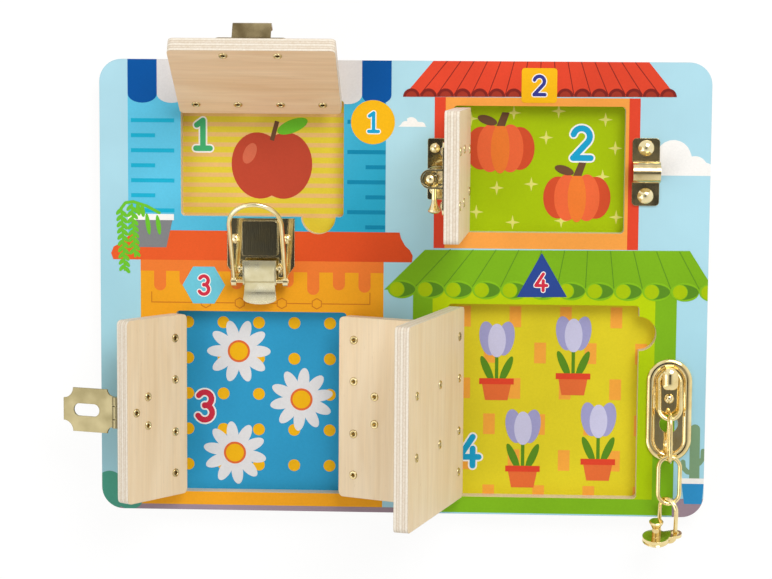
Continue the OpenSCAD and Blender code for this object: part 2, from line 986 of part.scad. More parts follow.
module bolt_plate() {
  color(brass)
    frame_2() opened(open_2)
      difference() {
        translate([0, bolt_y, 0]) {
          translate([bolt_plate_u + bolt_plate_l / 2, 0, 0])
            linear_extrude(sheet_t) plan(bolt_plate_l, bolt_plate_w, 2.5);
          strap(bolt_plate_u, strap_w, bolt_in);
          strap(strap_front, strap_w, bolt_in);
        }
        at_bolt_rivets() translate([0, 0, -1]) cylinder(r = shank_r + pin_fit, h = sheet_t + 2);
      }
}

module bolt_rod() {
  nose = 1.6;
  color(brass)
    frame_2() opened(open_2)
      translate([0, bolt_y, bolt_h])
        rotate([0, 90, 0])
          rotate_extrude()
            polygon(concat(
              [[0, bolt_back], [bolt_r - 0.6, bolt_back], [bolt_r, bolt_back + 0.6]],
              [[bolt_r, collar_u - collar_w / 2 - pin_fit], [waist_r, collar_u - collar_w / 2 - pin_fit]],
              [[waist_r, collar_u + collar_w / 2 + pin_fit], [bolt_r, collar_u + collar_w / 2 + pin_fit]],
              [[bolt_r, bolt_end - 4.4], [bolt_r - 0.5, bolt_end - 3.9], [bolt_tip_r, bolt_end - 3.9]],
              [for (i = [0 : 8]) [bolt_tip_r * cos(i * 90 / 8), bolt_end - nose + nose * sin(i * 90 / 8)]]
            ));
}

// Knob on a collar round the bolt's waist, hanging across the door
module bolt_knob() {
  bell = [for (i = [0 : 8]) [1.2 + (knob_r - 1.2) * pow(i / 8, 2), knob_l - 7 + 5.4 * i / 8]];
  cap = [for (i = [1 : 8]) [knob_r * cos(i * 90 / 8), knob_l - 1.6 + 1.6 * sin(i * 90 / 8)]];
  color(brass)
    frame_2() opened(open_2)
      translate([collar_u, bolt_y, bolt_h])
        difference() {
          union() {
            bar_x(bolt_r, collar_w);
            rotate([90, 0, 0])
              rotate_extrude()
                polygon(concat([[0, waist_r], [1.2, waist_r]], bell, cap));
          }
          bar_x(waist_r + pin_fit, collar_w + 10);
        }
}

module bolt_keeper() {
  color(brass)
    difference() {
      translate([win2_right + keeper_gap, win2_y + bolt_y, face_z]) {
        translate([keeper_w / 2, 0, 0])
          linear_extrude(sheet_t)
            difference() {
              plan(keeper_w, bolt_plate_w, 2);
              square([keeper_w + 2, 2 * keeper_in], center = true);
            }
        strap(0, keeper_w, keeper_in);
      }
      at_keeper_rivets() translate([0, 0, -1]) cylinder(r = shank_r + pin_fit, h = sheet_t + 2);
    }
}

// Hasp and its turning staple

hasp_mid = hasp_neck * 0.4;
hasp_side = (hasp_neck - hasp_mid) / 2 - pass_gap;

module hasp_leaf() {
  color(brass)
    frame_3l() opened(open_3l)
      difference() {
        translate([0, hasp_y - win3_y, 0]) {
          linear_extrude(sheet_t)
            difference() {
              union() {
                translate([hasp_back + 5, 0]) plan(10, hasp_w, 3);
                translate([hasp_back + 4, -hasp_neck / 2]) square([hasp_u - hasp_back - 4, hasp_neck]);
              }
              translate([hasp_u, 0])
                square([2 * (hasp_r + pass_gap), hasp_mid + 2 * pass_gap], center = true);
            }
          for (y = [-1, 1])
            translate([hasp_u, y * (hasp_neck - hasp_side) / 2, hasp_r]) bar_y(hasp_r, hasp_side);
        }
        translate([hasp_u, hasp_y - win3_y, hasp_r]) bar_y(hasp_pin_r + pin_fit, hasp_neck + 2);
        at_hasp_rivets() translate([0, 0, -1]) cylinder(r = shank_r + pin_fit, h = sheet_t + 2);
      }
}

module hasp_pin() {
  color(brass)
    frame_3l() opened(open_3l)
      translate([hasp_u, hasp_y - win3_y, hasp_r]) bar_y(hasp_pin_r, hasp_neck);
}

// Plan of the flap, from its pin's axis outwards
module flap_plan() {
  wide = 5.5;
  difference() {
    union() {
      translate([0, -hasp_mid / 2]) square([hasp_r + 1, hasp_mid]);
      translate([hasp_r + pass_gap, -hasp_neck / 2]) square([flap_l / 2, hasp_neck]);
      translate([hasp_r + pass_gap + 0.8, -hasp_w / 2]) square([flap_l - hasp_r - pass_gap - 0.8, hasp_w]);
    }
    for (y = [-1, 1]) {
      translate([flap_l, y * hasp_w / 2]) circle(flap_cut);
      translate([hasp_r + pass_gap, y * hasp_w / 2]) circle((hasp_w - hasp_neck) / 2);
    }
    translate([slot_at, 0]) rotate(90) stadium(slot_w, slot_l);
  }
}

module hasp_flap() {
  color(brass)
    frame_3l() opened(open_3l) swing(hasp_fold, hasp_u, hasp_r)
      translate([hasp_u, hasp_y - win3_y, 0])
        difference() {
          union() {
            translate([0, 0, flap_z]) linear_extrude(sheet_t) flap_plan();
            translate([0, 0, hasp_r]) bar_y(hasp_r, hasp_mid);
          }
          translate([0, 0, hasp_r]) bar_y(hasp_pin_r + pin_fit, hasp_neck + 2);
        }
}

module staple_frame() {
  frame_3r() opened(open_3r)
    translate([staple_u, win3_y - hasp_y, 0])
      children();
}

eye_neck_r = slot_w / 2 - pass_gap;

module staple_plate() {
  color(brass)
    difference() {
      staple_frame()
        difference() {
          linear_extrude(sheet_t) plan(hasp_w - 0.5, hasp_w - 0.5, 3);
          translate([0, 0, -1]) cylinder(r = eye_neck_r - 0.8 + pin_fit, h = sheet_t + 2);
        }
      frame_3r() opened(open_3r) at_staple_rivets()
        translate([0, 0, -1]) cylinder(r = shank_r + pin_fit, h = sheet_t + 2);
    }
}

// Turning eye: a flat ring on a round neck that passes through the flap's slot
module staple_eye() {
  ring_h = eye_top - neck_top;
  color(brass)
    staple_frame() {
      cylinder(r = eye_neck_r - 0.8, h = sheet_t + pin_fit + eps);
      translate([0, 0, sheet_t + pin_fit]) cylinder(r = eye_neck_r, h = neck_top - sheet_t - pin_fit + 0.6);
      translate([0, 0, neck_top])
        rotate([90, 0, 0])
          linear_extrude(eye_t, center = true)
            difference() {
              union() {
                translate([0, ring_h / 2]) plan(eye_w, ring_h, min(ring_h, eye_w) / 2 - 0.3);
                translate([-eye_neck_r, 0]) square([2 * eye_neck_r, ring_h / 2]);
              }
              translate([0, ring_h / 2 + 0.2]) circle(ring_h / 2 - 1.9);
            }
    }
}

// Door chain

// Section of the plate's rim, from its inner edge outwards
module rim_section() {
  n = 10;
  outer = anchor_w / 2;
  crown = [
    for (i = [0 : n])
      [outer - rim_w / 2 - rim_w / 2 * cos(i * 180 / n), sheet_t + (rim_h - sheet_t) * sin(i * 180 / n)]
  ];
  polygon(concat([[outer - rim_w, 0]], crown, [[outer, 0]]));
}

// Ball drawn out along Y
module capsule(r, l) {
  sphere(r);
  translate([0, -l, 0]) sphere(r);
  rotate([90, 0, 0]) cylinder(r = r, h = l);
}

// Lanced tongue: a thin dome on a root at its top end, under which the first link passes
module tongue() {
  tongue_w = link_w - 4 * wire_r - 0.6;
  gap = 2 * wire_r + 3 * pass_gap;
  rise = 2.2;
  ball = (tongue_w * tongue_w / 4 + rise * rise) / (2 * rise);
  root_y = link_1_at[1] - chain_y + wire_r + pass_gap;
  difference() {
    union() {
      translate([0, root_y + sheet_t - tongue_w / 2, sheet_t + gap])
        intersection() {
          translate([0, 0, rise - ball]) capsule(ball + sheet_t, tongue_l);
          union() {
            cylinder(r = tongue_w / 2, h = 10);
            translate([0, -tongue_l, 0]) cylinder(r = tongue_w / 2, h = 10);
            translate([-tongue_w / 2, -tongue_l, 0]) cube([tongue_w, tongue_l, 10]);
          }
        }
      translate([-tongue_w / 4, root_y - 0.4, 0]) cube([tongue_w / 2, sheet_t, sheet_t + gap + 0.8]);
    }
    translate([0, root_y + sheet_t - tongue_w / 2, sheet_t + gap + rise - ball - sheet_t])
      intersection() {
        capsule(ball, tongue_l);
        translate([-10, -20, 0]) cube([20, 20 + tongue_w / 2 - 2 * sheet_t, 20]);
      }
    translate([-10, root_y - tongue_w - tongue_l + sheet_t - 1, 0]) cube([20, 1.8, 20]);
  }
}

module chain_anchor() {
  mid = anchor_l - anchor_w;
  color(brass)
    difference() {
      translate([chain_x, chain_y, face_z]) {
        linear_extrude(sheet_t) stadium(anchor_w - 0.2, anchor_l - 0.2);
        for (y = [-1, 1])
          translate([0, y * mid / 2, 0])
            rotate([0, 0, y < 0 ? 180 : 0])
              rotate_extrude(angle = 180) rim_section();
        for (x = [0, 180])
          rotate([0, 0, x])
            rotate([90, 0, 0])
              linear_extrude(mid, center = true) rim_section();
        tongue();
      }
      translate([chain_x, chain_y - 6.6, face_z - 1]) cylinder(r = park_r, h = 10);
      at_anchor_rivets() translate([0, 0, -1]) cylinder(r = shank_r + pin_fit, h = sheet_t + 2);
    }
}

// One link: its upper end's wire passes through the origin and it hangs down along Y
module link() {
  straight = link_c - 2 * link_half;
  for (x = [-1, 1])
    translate([x * link_half, -link_c / 2, 0]) bar_y(wire_r, straight + eps);
  translate([0, -link_half, 0])
    rotate_extrude(angle = 180) translate([link_half, 0]) circle(wire_r, $fn = 24);
  translate([0, -link_half - straight, 0])
    rotate([0, 0, 180])
      rotate_extrude(angle = 180) translate([link_half, 0]) circle(wire_r, $fn = 24);
}

module place_link(at, tilt, roll) {
  translate(at)
    rotate([tilt, 0, 0])
      rotate([0, roll, 0])
        children();
}

module chain_link_1() {
  color(brass) place_link(link_1_at, tilt_1, 0) link();
}

module chain_link_2() {
  color(brass) place_link(link_2_at, tilt_2, 90) link();
}

module chain_link_3() {
  color(brass) place_link(link_3_at, tilt_3, 0) link();
}

module chain_link_4() {
  color(brass) place_link(link_4_at, tilt_4, roll_4) link();
}

// Plug: a grooved disc with a flared stud, on a tab threaded by the last link's lower leg
module chain_plug() {
  leg_end = link_c - link_half - 0.6;
  stud = [
    [0, 0], [plug_stem_r, 0], [plug_stem_r, plug_h * 0.55],
    [plug_head_r, plug_h - 1], [plug_head_r, plug_h - 0.4], [plug_head_r - 0.4, plug_h], [0, plug_h]
  ];
  disc = [
    [0, -plug_t - 1.6], [plug_r - 0.5, -plug_t - 1.6], [plug_r, -plug_t - 1.1], [plug_r - 0.7, -plug_t - 0.2],
    [plug_r - 0.7, -plug_t], [plug_r, -plug_t], [plug_r, 0], [0, 0]
  ];
  color(brass)
    place_link(link_4_at, tilt_4, roll_4)
      translate([link_half, -leg_end, 0])
        rotate([0, plug_turn - roll_4, 0])
          rotate([-90, 0, 0])
            difference() {
              union() {
                translate([-plug_tab, 0, plug_t / 2]) {
                  rotate_extrude() polygon(disc);
                  rotate_extrude() polygon(stud);
                }
                translate([-plug_tab, -plug_hole_r - 1.3, -plug_t / 2])
                  cube([plug_tab, 2 * (plug_hole_r + 1.3), plug_t]);
                cylinder(r = plug_hole_r + 1.3, h = plug_t, center = true);
              }
              cylinder(r = plug_hole_r, h = 4 * plug_t, center = true);
            }
}

// Track on door 4: a raised channel with a keyhole slot for the plug
module chain_track() {
  key_r = plug_head_r + 0.5;
  color(brass)
    frame_4() opened(open_4)
      difference() {
        translate([track_u, 0, 0]) {
          linear_extrude(sheet_t)
            difference() {
              plan(track_l, track_w, 4);
              plan(channel_l - 2 * sheet_t, channel_w - 2 * sheet_t, 3);
            }
          difference() {
            linear_extrude(channel_h) plan(channel_l, channel_w, 4);
            translate([0, 0, -sheet_t])
              linear_extrude(channel_h) plan(channel_l - 2 * sheet_t, channel_w - 2 * sheet_t, 3);
            translate([0, 0, channel_h / 2])
              linear_extrude(channel_h) {
                rotate(90) stadium(track_slot, channel_l - 8);
                translate([-channel_l / 2 + 4 + key_r, 0]) circle(key_r);
              }
          }
        }
        at_track_rivets() translate([0, 0, -1]) cylinder(r = shank_r + pin_fit, h = sheet_t + 2);
      }
}

back_panel();
front_panel();
board_rivets();
hinge_1_board_leaves();
hinge_1_pins();
hinge_2_board_leaf();
hinge_2_pin();
hinge_3l_board_leaves();
hinge_3l_pins();
hinge_3r_board_leaves();
hinge_3r_pins();
hinge_4_board_leaves();
hinge_4_pins();
door_1();
hinge_1_door_leaves();
door_1_rivets();
toggle_catch();
door_2();
hinge_2_door_leaf();
door_2_rivets();
bolt_plate();
bolt_rod();
bolt_knob();
door_3_left();
hinge_3l_door_leaves();
door_3l_rivets();
hasp_leaf();
hasp_pin();
hasp_flap();
door_3_right();
hinge_3r_door_leaves();
door_3r_rivets();
staple_plate();
staple_eye();
door_4();
hinge_4_door_leaves();
door_4_rivets();
chain_track();
toggle_base();
toggle_lever_pin();
toggle_lever();
toggle_bail_pin();
toggle_bail();
bolt_keeper();
chain_anchor();
chain_link_1();
chain_link_2();
chain_link_3();
chain_link_4();
chain_plug();
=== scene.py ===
"""Looks of a wooden latch puzzle board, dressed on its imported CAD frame."""

import logging
import math
from dataclasses import dataclass
from enum import Enum
from typing import Any, Optional, Sequence

import bmesh
import bpy
from mathutils import Matrix, Vector


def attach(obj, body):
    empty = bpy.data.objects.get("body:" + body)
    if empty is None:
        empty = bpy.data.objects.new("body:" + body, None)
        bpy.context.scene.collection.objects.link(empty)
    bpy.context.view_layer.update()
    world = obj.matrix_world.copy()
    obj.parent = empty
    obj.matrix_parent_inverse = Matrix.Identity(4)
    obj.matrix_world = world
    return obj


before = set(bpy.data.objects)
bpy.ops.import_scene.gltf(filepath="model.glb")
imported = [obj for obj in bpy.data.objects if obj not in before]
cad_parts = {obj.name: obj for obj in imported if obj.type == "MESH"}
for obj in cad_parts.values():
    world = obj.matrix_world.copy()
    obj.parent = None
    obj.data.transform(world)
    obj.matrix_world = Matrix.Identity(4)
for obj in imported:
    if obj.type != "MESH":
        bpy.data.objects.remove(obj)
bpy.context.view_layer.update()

LOG = logging.getLogger("latch_board")
MM = 0.001
# Heights of the printed faces, radius of the hinges and thickness of one ink layer, in millimetres
FACE_Z = 12.0
FLOOR_Z = 4.0
KNUCKLE = 1.6
INK = 0.025
# Half the board's width and height, and the radius of its corners
BOARD_X, BOARD_Y, BOARD_R = 150.0, 112.2, 11.0
# Most values of a noise texture lie in this range
MIDDLE = (0.3, 0.7)
Point = tuple[float, float]
Triple = tuple[float, float, float]
Socket = bpy.types.NodeSocket


class Ink(Enum):
    """Inks of the printed board, as sRGB hex values."""

    SKY = "#AAD7E5"
    SKY_DEEP = "#9CCEDD"
    CYAN = "#5EC2E2"
    CYAN_DEEP = "#26A2C5"
    TEAL = "#18ADCE"
    TEAL_DEEP = "#0A84AA"
    NAVY = "#00509A"
    OFF_WHITE = "#D6D4D4"
    PETAL = "#DFDFE2"
    WHITE = "#F2F0EC"
    SUN = "#EFB412"
    BLUE = "#1A9FCC"
    VERMILION = "#DA442A"
    OXBLOOD = "#7C231D"
    BRICK = "#9E3323"
    APRICOT = "#EE9D45"
    MARIGOLD = "#EBA11E"
    TANGERINE = "#E97A30"
    OCHRE_LINE = "#C9781E"
    AQUA = "#6CC2D6"
    CRIMSON = "#CB2F45"
    LEAF = "#79AE18"
    LEAF_DEEP = "#57891F"
    LEAF_BRIGHT = "#82BA1B"
    LIME = "#A5C002"
    LIME_PALE = "#DDDC74"
    INDIGO = "#35398C"
    MAUVE = "#9A8692"
    SAGE = "#7A9A77"
    BUSH = "#4C9C86"
    PLANT = "#6ABD2C"
    POT_GREY = "#7F8082"
    POT_BLUE = "#2F8EC6"
    LEMON = "#DCC83A"
    PEACH = "#E3B871"
    GOLDEN = "#DACB26"
    HONEY = "#EEA43E"
    LAKE = "#2F9AC9"
    EMERALD = "#45AE70"
    RUST = "#B9462F"
    RUST_PALE = "#D0694C"
    PUMPKIN = "#E8673A"
    PUMPKIN_DEEP = "#CF4E2B"
    BARK = "#6B4A33"
    LILAC = "#C7C6E4"
    LILAC_DEEP = "#9E9DCB"
    TERRACOTTA = "#DE6B35"
    LIME_BRIGHT = "#B6CE02"
    FLAME = "#E75C27"
    FLAME_DEEP = "#D84C1F"
    ULTRAMARINE = "#2A4690"


class Plating(Enum):
    """Finishes of the brass fittings: pale and deep tone, least and most roughness."""

    BRIGHT = ("#F3E6BB", "#E2CF98", 0.05, 0.11)
    SOFT = ("#F2EAC8", "#D3C79A", 0.2, 0.36)
    GOLDEN = ("#F2E0A9", "#E0C482", 0.05, 0.12)
    SATIN = ("#9A8F6C", "#8F8460", 0.36, 0.46)
    AGED = ("#A3926C", "#6F6042", 0.14, 0.34)
    WORN = ("#DCCB9C", "#B7A271", 0.12, 0.26)


def linear(colour: str) -> tuple[float, float, float, float]:
    """Turn an sRGB hex value into linear light.

    Args:
        colour: Hex value such as "#E24A2D".

    Returns:
        Red, green, blue and full alpha for a shader socket.
    """
    parts = [int(colour[i : i + 2], 16) / 255 for i in (1, 3, 5)]
    red, green, blue = [c / 12.92 if c <= 0.04045 else ((c + 0.055) / 1.055) ** 2.4 for c in parts]
    return red, green, blue, 1.0


def per_metre(size_mm: float) -> float:
    """Work out a texture's scale.

    Args:
        size_mm: Width of one feature.

    Returns:
        Number of features to the metre.
    """
    return 1 / (size_mm * MM)


class Nodes:
    """One node tree, with short ways to add the nodes that the finishes share."""

    def __init__(self, tree: bpy.types.NodeTree) -> None:
        """Take over a tree and empty it.

        Args:
            tree: Node tree of a material or of the world.
        """
        self.tree = tree
        tree.nodes.clear()

    def add(self, kind: str, inputs: Optional[dict[Any, Any]] = None, **settings: Any) -> bpy.types.Node:
        """Add one node with its settings, values and links.

        Args:
            kind: Blender's type name of the node.
            inputs: Socket name, identifier or index, with a value or a socket to link from.
            settings: Attributes of the node itself.

        Returns:
            The new node.
        """
        node = self.tree.nodes.new(kind)
        for key, value in settings.items():
            setattr(node, key, value)
        for key, value in (inputs or {}).items():
            named = (s for s in node.inputs if key in (s.identifier, s.name))
            socket = node.inputs[key] if isinstance(key, int) else next(named)
            if isinstance(value, bpy.types.NodeSocket):
                self.tree.links.new(value, socket)
            else:
                socket.default_value = value
        return node

    def math(self, operation: str, a: Any, b: Any = 0.0) -> Socket:
        """Reckon with one or two numbers.

        Args:
            operation: Blender's name of the operation.
            a: First number or socket.
            b: Second number or socket, if there is one.

        Returns:
            Socket with the result.
        """
        return self.add("ShaderNodeMath", {0: a, 1: b}, operation=operation).outputs[0]

    def scaled(self, colour: Socket, by: Socket) -> Socket:
        """Make a colour lighter or darker.

        Args:
            colour: Socket with the colour.
            by: Socket with the factor.

        Returns:
            Socket with the new colour.
        """
        return self.add("ShaderNodeVectorMath", {0: colour, "Scale": by}, operation="SCALE").outputs[0]

    def remap(self, value: Socket, old: Point, new: Point = (0.0, 1.0), curve: str = "LINEAR") -> Socket:
        """Carry a number from one range to another and stop it at the ends.

        Args:
            value: Socket with the number.
            old: Range that it comes from.
            new: Range that it goes to.
            curve: Blender's name of the way between the ends.

        Returns:
            Socket with the new number.
        """
        ends = {"From Min": old[0], "From Max": old[1], "To Min": new[0], "To Max": new[1]}
        return self.add("ShaderNodeMapRange", {"Value": value, **ends}, interpolation_type=curve).outputs[0]

    def blend(self, share: Socket, a: Any, b: Any) -> Socket:
        """Mix two colours.

        Args:
            share: Socket with the share of the second colour.
            a: First colour or socket.
            b: Second colour or socket.

        Returns:
            Socket with the mixed colour.
        """
        inputs = {"Factor_Float": share, "A_Color": a, "B_Color": b}
        return self.add("ShaderNodeMix", inputs, data_type="RGBA").outputs[2]

    def noise(self, where: Socket, scale: float, detail: float, distortion: float = 0.0) -> Socket:
        """Add a random pattern.

        Args:
            where: Socket with the coordinates.
            scale: Number of features to one unit.
            detail: Number of finer octaves.
            distortion: How far the pattern is bent.

        Returns:
            Socket with a number around 0.5.
        """
        inputs = {"Vector": where, "Scale": scale, "Detail": detail, "Distortion": distortion}
        return self.add("ShaderNodeTexNoise", inputs).outputs[0]

    def seen(self) -> Socket:
        """Find the rays that look at a backdrop: the lens's own, and those off metal or through glass.

        Returns:
            Socket with 1 for those rays and 0 for light that falls on the part.
        """
        ray = self.add("ShaderNodeLightPath").outputs
        glossy = self.math("MAXIMUM", ray["Is Camera Ray"], ray["Is Glossy Ray"])
        return self.math("MAXIMUM", glossy, ray["Is Transmission Ray"])

    def surface(self, values: dict[str, Any]) -> None:
        """Add the surface itself and send it out.

        Args:
            values: Inputs of the principled shader, by name.
        """
        shader = self.add("ShaderNodeBsdfPrincipled", values)
        self.add("ShaderNodeOutputMaterial", {"Surface": shader.outputs[0]})


def new_material(name: str) -> tuple[bpy.types.Material, Nodes]:
    """Start an empty node material.

    Args:
        name: Name of the material.

    Returns:
        The material and its nodes.
    """
    material = bpy.data.materials.new(name)
    material.use_nodes = True
    return material, Nodes(material.node_tree)


def coat(obj: bpy.types.Object, material: bpy.types.Material) -> None:
    """Give every slot of an object one material.

    Args:
        obj: The object.
        material: The material.
    """
    if not obj.data.materials:
        obj.data.materials.append(material)
    for i in range(len(obj.data.materials)):
        obj.data.materials[i] = material


def mesh_object(name: str, bm: bmesh.types.BMesh) -> bpy.types.Object:
    """Turn a finished mesh into an object of the scene.

    Args:
        name: Name of the object and its mesh.
        bm: The mesh, which is freed.

    Returns:
        The object.
    """
    data = bpy.data.meshes.new(name)
    bm.to_mesh(data)
    bm.free()
    obj = bpy.data.objects.new(name, data)
    bpy.context.scene.collection.objects.link(obj)
    return obj


def arc(x: float, y: float, radius: float, start: float, end: float, steps: int = 10) -> list[Point]:
    """Find points on a round arc.

    Args:
        x: Centre across the board.
        y: Centre up the board.
        radius: Radius of the arc.
        start: First angle in degrees.
        end: Last angle in degrees.
        steps: Number of sides.

    Returns:
        The points, both ends among them.
    """
    angles = [math.radians(start + (end - start) * k / steps) for k in range(steps + 1)]
    return [(x + radius * math.cos(a), y + radius * math.sin(a)) for a in angles]


# Middle lines of the plain numerals, one unit high
DIGITS: dict[str, list[list[Point]]] = {
    "1": [[(-0.16, 0.29), (0.03, 0.43), (0.03, -0.43)], [(-0.19, -0.43), (0.25, -0.43)]],
    "2": [arc(0, 0.19, 0.24, 165, -38) + [(-0.24, -0.43), (0.27, -0.43)]],
    "3": [arc(0, 0.22, 0.21, 150, -90), arc(0, -0.2, 0.23, 90, -155)],
    "4": [[(0.1, 0.43), (-0.28, -0.17), (0.28, -0.17)], [(0.1, 0.08), (0.1, -0.43)]],
}


@dataclass(frozen=True)
class Fade:
    """Slow change of one ink into another across the board."""

    ink: Ink
    axis: Triple
    start: float
    end: float


@dataclass(frozen=True)
class PrintedInk:
    """Screen-printed ink under a satin varnish, on birch plywood."""

    ink: Ink
    fade: Optional[Fade] = None
    sheen: float = 0.42

    def material(self) -> bpy.types.Material:
        """Make the ink's material, or find it if it is made already.

        Returns:
            The material.
        """
        name = f"varnished_screen_print_{self.ink.name.lower()}" + ("_fade" if self.fade else "")
        if name in bpy.data.materials:
            return bpy.data.materials[name]
        material, nodes = new_material(name)
        where = nodes.add("ShaderNodeTexCoord").outputs["Object"]
        # Thin ink lies unevenly on wood, so the eye sees faint clouds and fine wood pores in it
        clouds = nodes.noise(where, per_metre(38), 2.0)
        pores = nodes.noise(where, per_metre(0.9), 3.0)
        thin = nodes.remap(clouds, MIDDLE, (0.93, 1.04))
        fine = nodes.remap(pores, MIDDLE, (0.965, 1.02))
        relief = nodes.add("ShaderNodeBump", {"Height": pores, "Strength": 0.16, "Distance": 0.1 * MM})
        nodes.surface(
            {
                "Base Color": nodes.scaled(self.shade(nodes, where), nodes.math("MULTIPLY", thin, fine)),
                "Roughness": nodes.remap(clouds, (0.0, 1.0), (self.sheen - 0.07, self.sheen + 0.09)),
                "Normal": relief.outputs[0],
                "IOR": 1.48,
                "Specular IOR Level": 0.12,
            }
        )
        return material

    def shade(self, nodes: Nodes, where: Socket) -> Socket:
        """Lay out the ink's own colour.

        Args:
            nodes: The material's nodes.
            where: Object coordinates.

        Returns:
            Socket with the colour, faded where the ink has a fade.
        """
        own = linear(self.ink.value)
        if self.fade:
            other, axis = linear(self.fade.ink.value), self.fade.axis
            start, end = self.fade.start, self.fade.end
        else:
            other, axis = tuple(min(1.0, c * 1.05) for c in own[:3]) + (1.0,), (0.0, 1.0, 0.0)
            start, end = -110.0, 110.0
        inputs = {0: where, 1: tuple(a / MM for a in axis)}
        along = nodes.add("ShaderNodeVectorMath", inputs, operation="DOT_PRODUCT").outputs["Value"]
        return nodes.blend(nodes.remap(along, (start, end), curve="SMOOTHSTEP"), own, other)


@dataclass(frozen=True)
class PanelAxes:
    """Where a wooden panel lies: its hinge axis and how far it stands open."""

    x: float
    y: float
    z: float
    heading: float
    opened: float

    def vectors(self) -> tuple[Vector, Vector, Vector, Vector]:
        """Work out the panel's own directions.

        Returns:
            Origin in millimetres, then the directions from the hinge, along it and out of the face.
        """
        turn, lift = math.radians(self.heading), math.radians(self.opened)
        out = Vector((math.cos(turn), math.sin(turn), 0.0))
        reach = out * math.cos(lift) + Vector((0, 0, math.sin(lift)))
        normal = -out * math.sin(lift) + Vector((0, 0, math.cos(lift)))
        along = Vector((-math.sin(turn), math.cos(turn), 0.0))
        return Vector((self.x, self.y, self.z)), reach, along, normal


@dataclass(frozen=True)
class BirchPlywood:
    """Sealed birch plywood, its plies on the edges, its grain along or across the hinge."""

    name: str
    axes: PanelAxes
    top: float
    thick: float
    plies: int
    across: bool = False
    face: str = "#EFDAB8"
    late: str = "#E8CFA8"
    print_ink: Optional[PrintedInk] = None

    def material(self) -> bpy.types.Material:
        """Make the panel's material on its own axes.

        Returns:
            The material.
        """
        material, nodes = new_material(f"sealed_birch_plywood_{self.name}")
        where = nodes.add("ShaderNodeTexCoord").outputs["Object"]
        origin, *directions = self.axes.vectors()
        parts = []
        for way in directions:
            inputs = {0: where, 1: tuple(way / MM)}
            dot = nodes.add("ShaderNodeVectorMath", inputs, operation="DOT_PRODUCT").outputs["Value"]
            parts.append(nodes.math("SUBTRACT", dot, origin.dot(way)))
        place = nodes.add("ShaderNodeCombineXYZ", dict(enumerate(parts))).outputs[0]
        face, gloss, fibres = self._face(nodes, where, place)
        # A cut edge starts a hair below either face
        away = nodes.math("ABSOLUTE", nodes.math("ADD", parts[2], self.thick / 2 - self.top))
        is_face = nodes.math("GREATER_THAN", away, self.thick / 2 - 0.03)
        rounded = nodes.add("ShaderNodeBevel", {"Radius": 0.45 * MM}, samples=4).outputs[0]
        inputs = {"Height": fibres, "Strength": 0.22, "Distance": 0.12 * MM, "Normal": rounded}
        nodes.surface(
            {
                "Base Color": nodes.blend(is_face, self._edge(nodes, place, parts[2]), face),
                "Roughness": gloss,
                "Normal": nodes.add("ShaderNodeBump", inputs).outputs[0],
                "IOR": 1.5,
            }
        )
        return material

    def _face(self, nodes: Nodes, where: Socket, place: Socket) -> tuple[Socket, Socket, Socket]:
        """Lay out the face veneer: long fibres, broad figure and short brown flecks.

        Args:
            nodes: The material's nodes.
            where: Object coordinates.
            place: Position on the panel's own axes, in millimetres.

        Returns:
            Sockets with the colour, the roughness and the relief.
        """
        streaks = []
        for width, length, depth, detail, bend in (
            (0.9, 30, 1.0, 3.0, 0.0), (7, 70, 0.2, 2.0, 0.8), (0.55, 4.5, 0.3, 1.0, 0.0)
        ):
            x, y = (length, width) if self.across else (width, length)
            run = nodes.add("ShaderNodeMapping", {"Vector": place, "Scale": (1 / x, 1 / y, depth)})
            streaks.append(nodes.noise(run.outputs[0], 1.0, detail, bend))
        fibres, bands, specks = streaks
        base = nodes.blend(nodes.remap(bands, (0.34, 0.68)), linear(self.face), linear(self.late))
        veneer = nodes.scaled(base, nodes.remap(fibres, MIDDLE, (0.955, 1.03)))
        mark = nodes.remap(specks, (0.72, 0.84), (0.0, 0.35))
        colour = nodes.blend(mark, veneer, linear("#A9804F"))
        if self.print_ink:
            cloud = nodes.remap(nodes.noise(where, per_metre(45), 3.0), MIDDLE, (0.94, 1.04))
            colour = nodes.scaled(self.print_ink.shade(nodes, where), cloud)
        return colour, nodes.remap(fibres, (0.0, 1.0), (0.42, 0.6)), fibres

    def _edge(self, nodes: Nodes, place: Socket, depth: Socket) -> Socket:
        """Lay out the cut edge: pale plies, end grain in every other one, brown glue lines.

        Args:
            nodes: The material's nodes.
            place: Position on the panel's own axes, in millimetres.
            depth: Height along the panel's normal, in millimetres.

        Returns:
            Socket with the colour.
        """
        ply = self.thick / self.plies
        count = nodes.math("DIVIDE", nodes.math("ADD", depth, self.thick - self.top), ply)
        turn = nodes.math("FRACT", nodes.math("MULTIPLY", count, 0.5))
        ends = nodes.remap(nodes.noise(place, 1 / 0.8, 3.0), (0.35, 0.65))
        end_grain = nodes.blend(ends, linear("#E4D8C7"), linear("#D9C9B2"))
        pale = nodes.blend(ends, linear("#EBE3D4"), linear("#E3D7C4"))
        wood = nodes.blend(nodes.math("GREATER_THAN", turn, 0.5), pale, end_grain)
        line = nodes.math("ABSOLUTE", nodes.math("SUBTRACT", nodes.math("FRACT", count), 0.5))
        # Real glue lines are about 0.1 mm, drawn 0.2 mm so that they show
        glue = nodes.remap(line, (0.5 - 0.22 / ply, 0.5 - 0.1 / ply), (0.0, 0.45))
        return nodes.blend(glue, wood, linear("#A98C6C"))


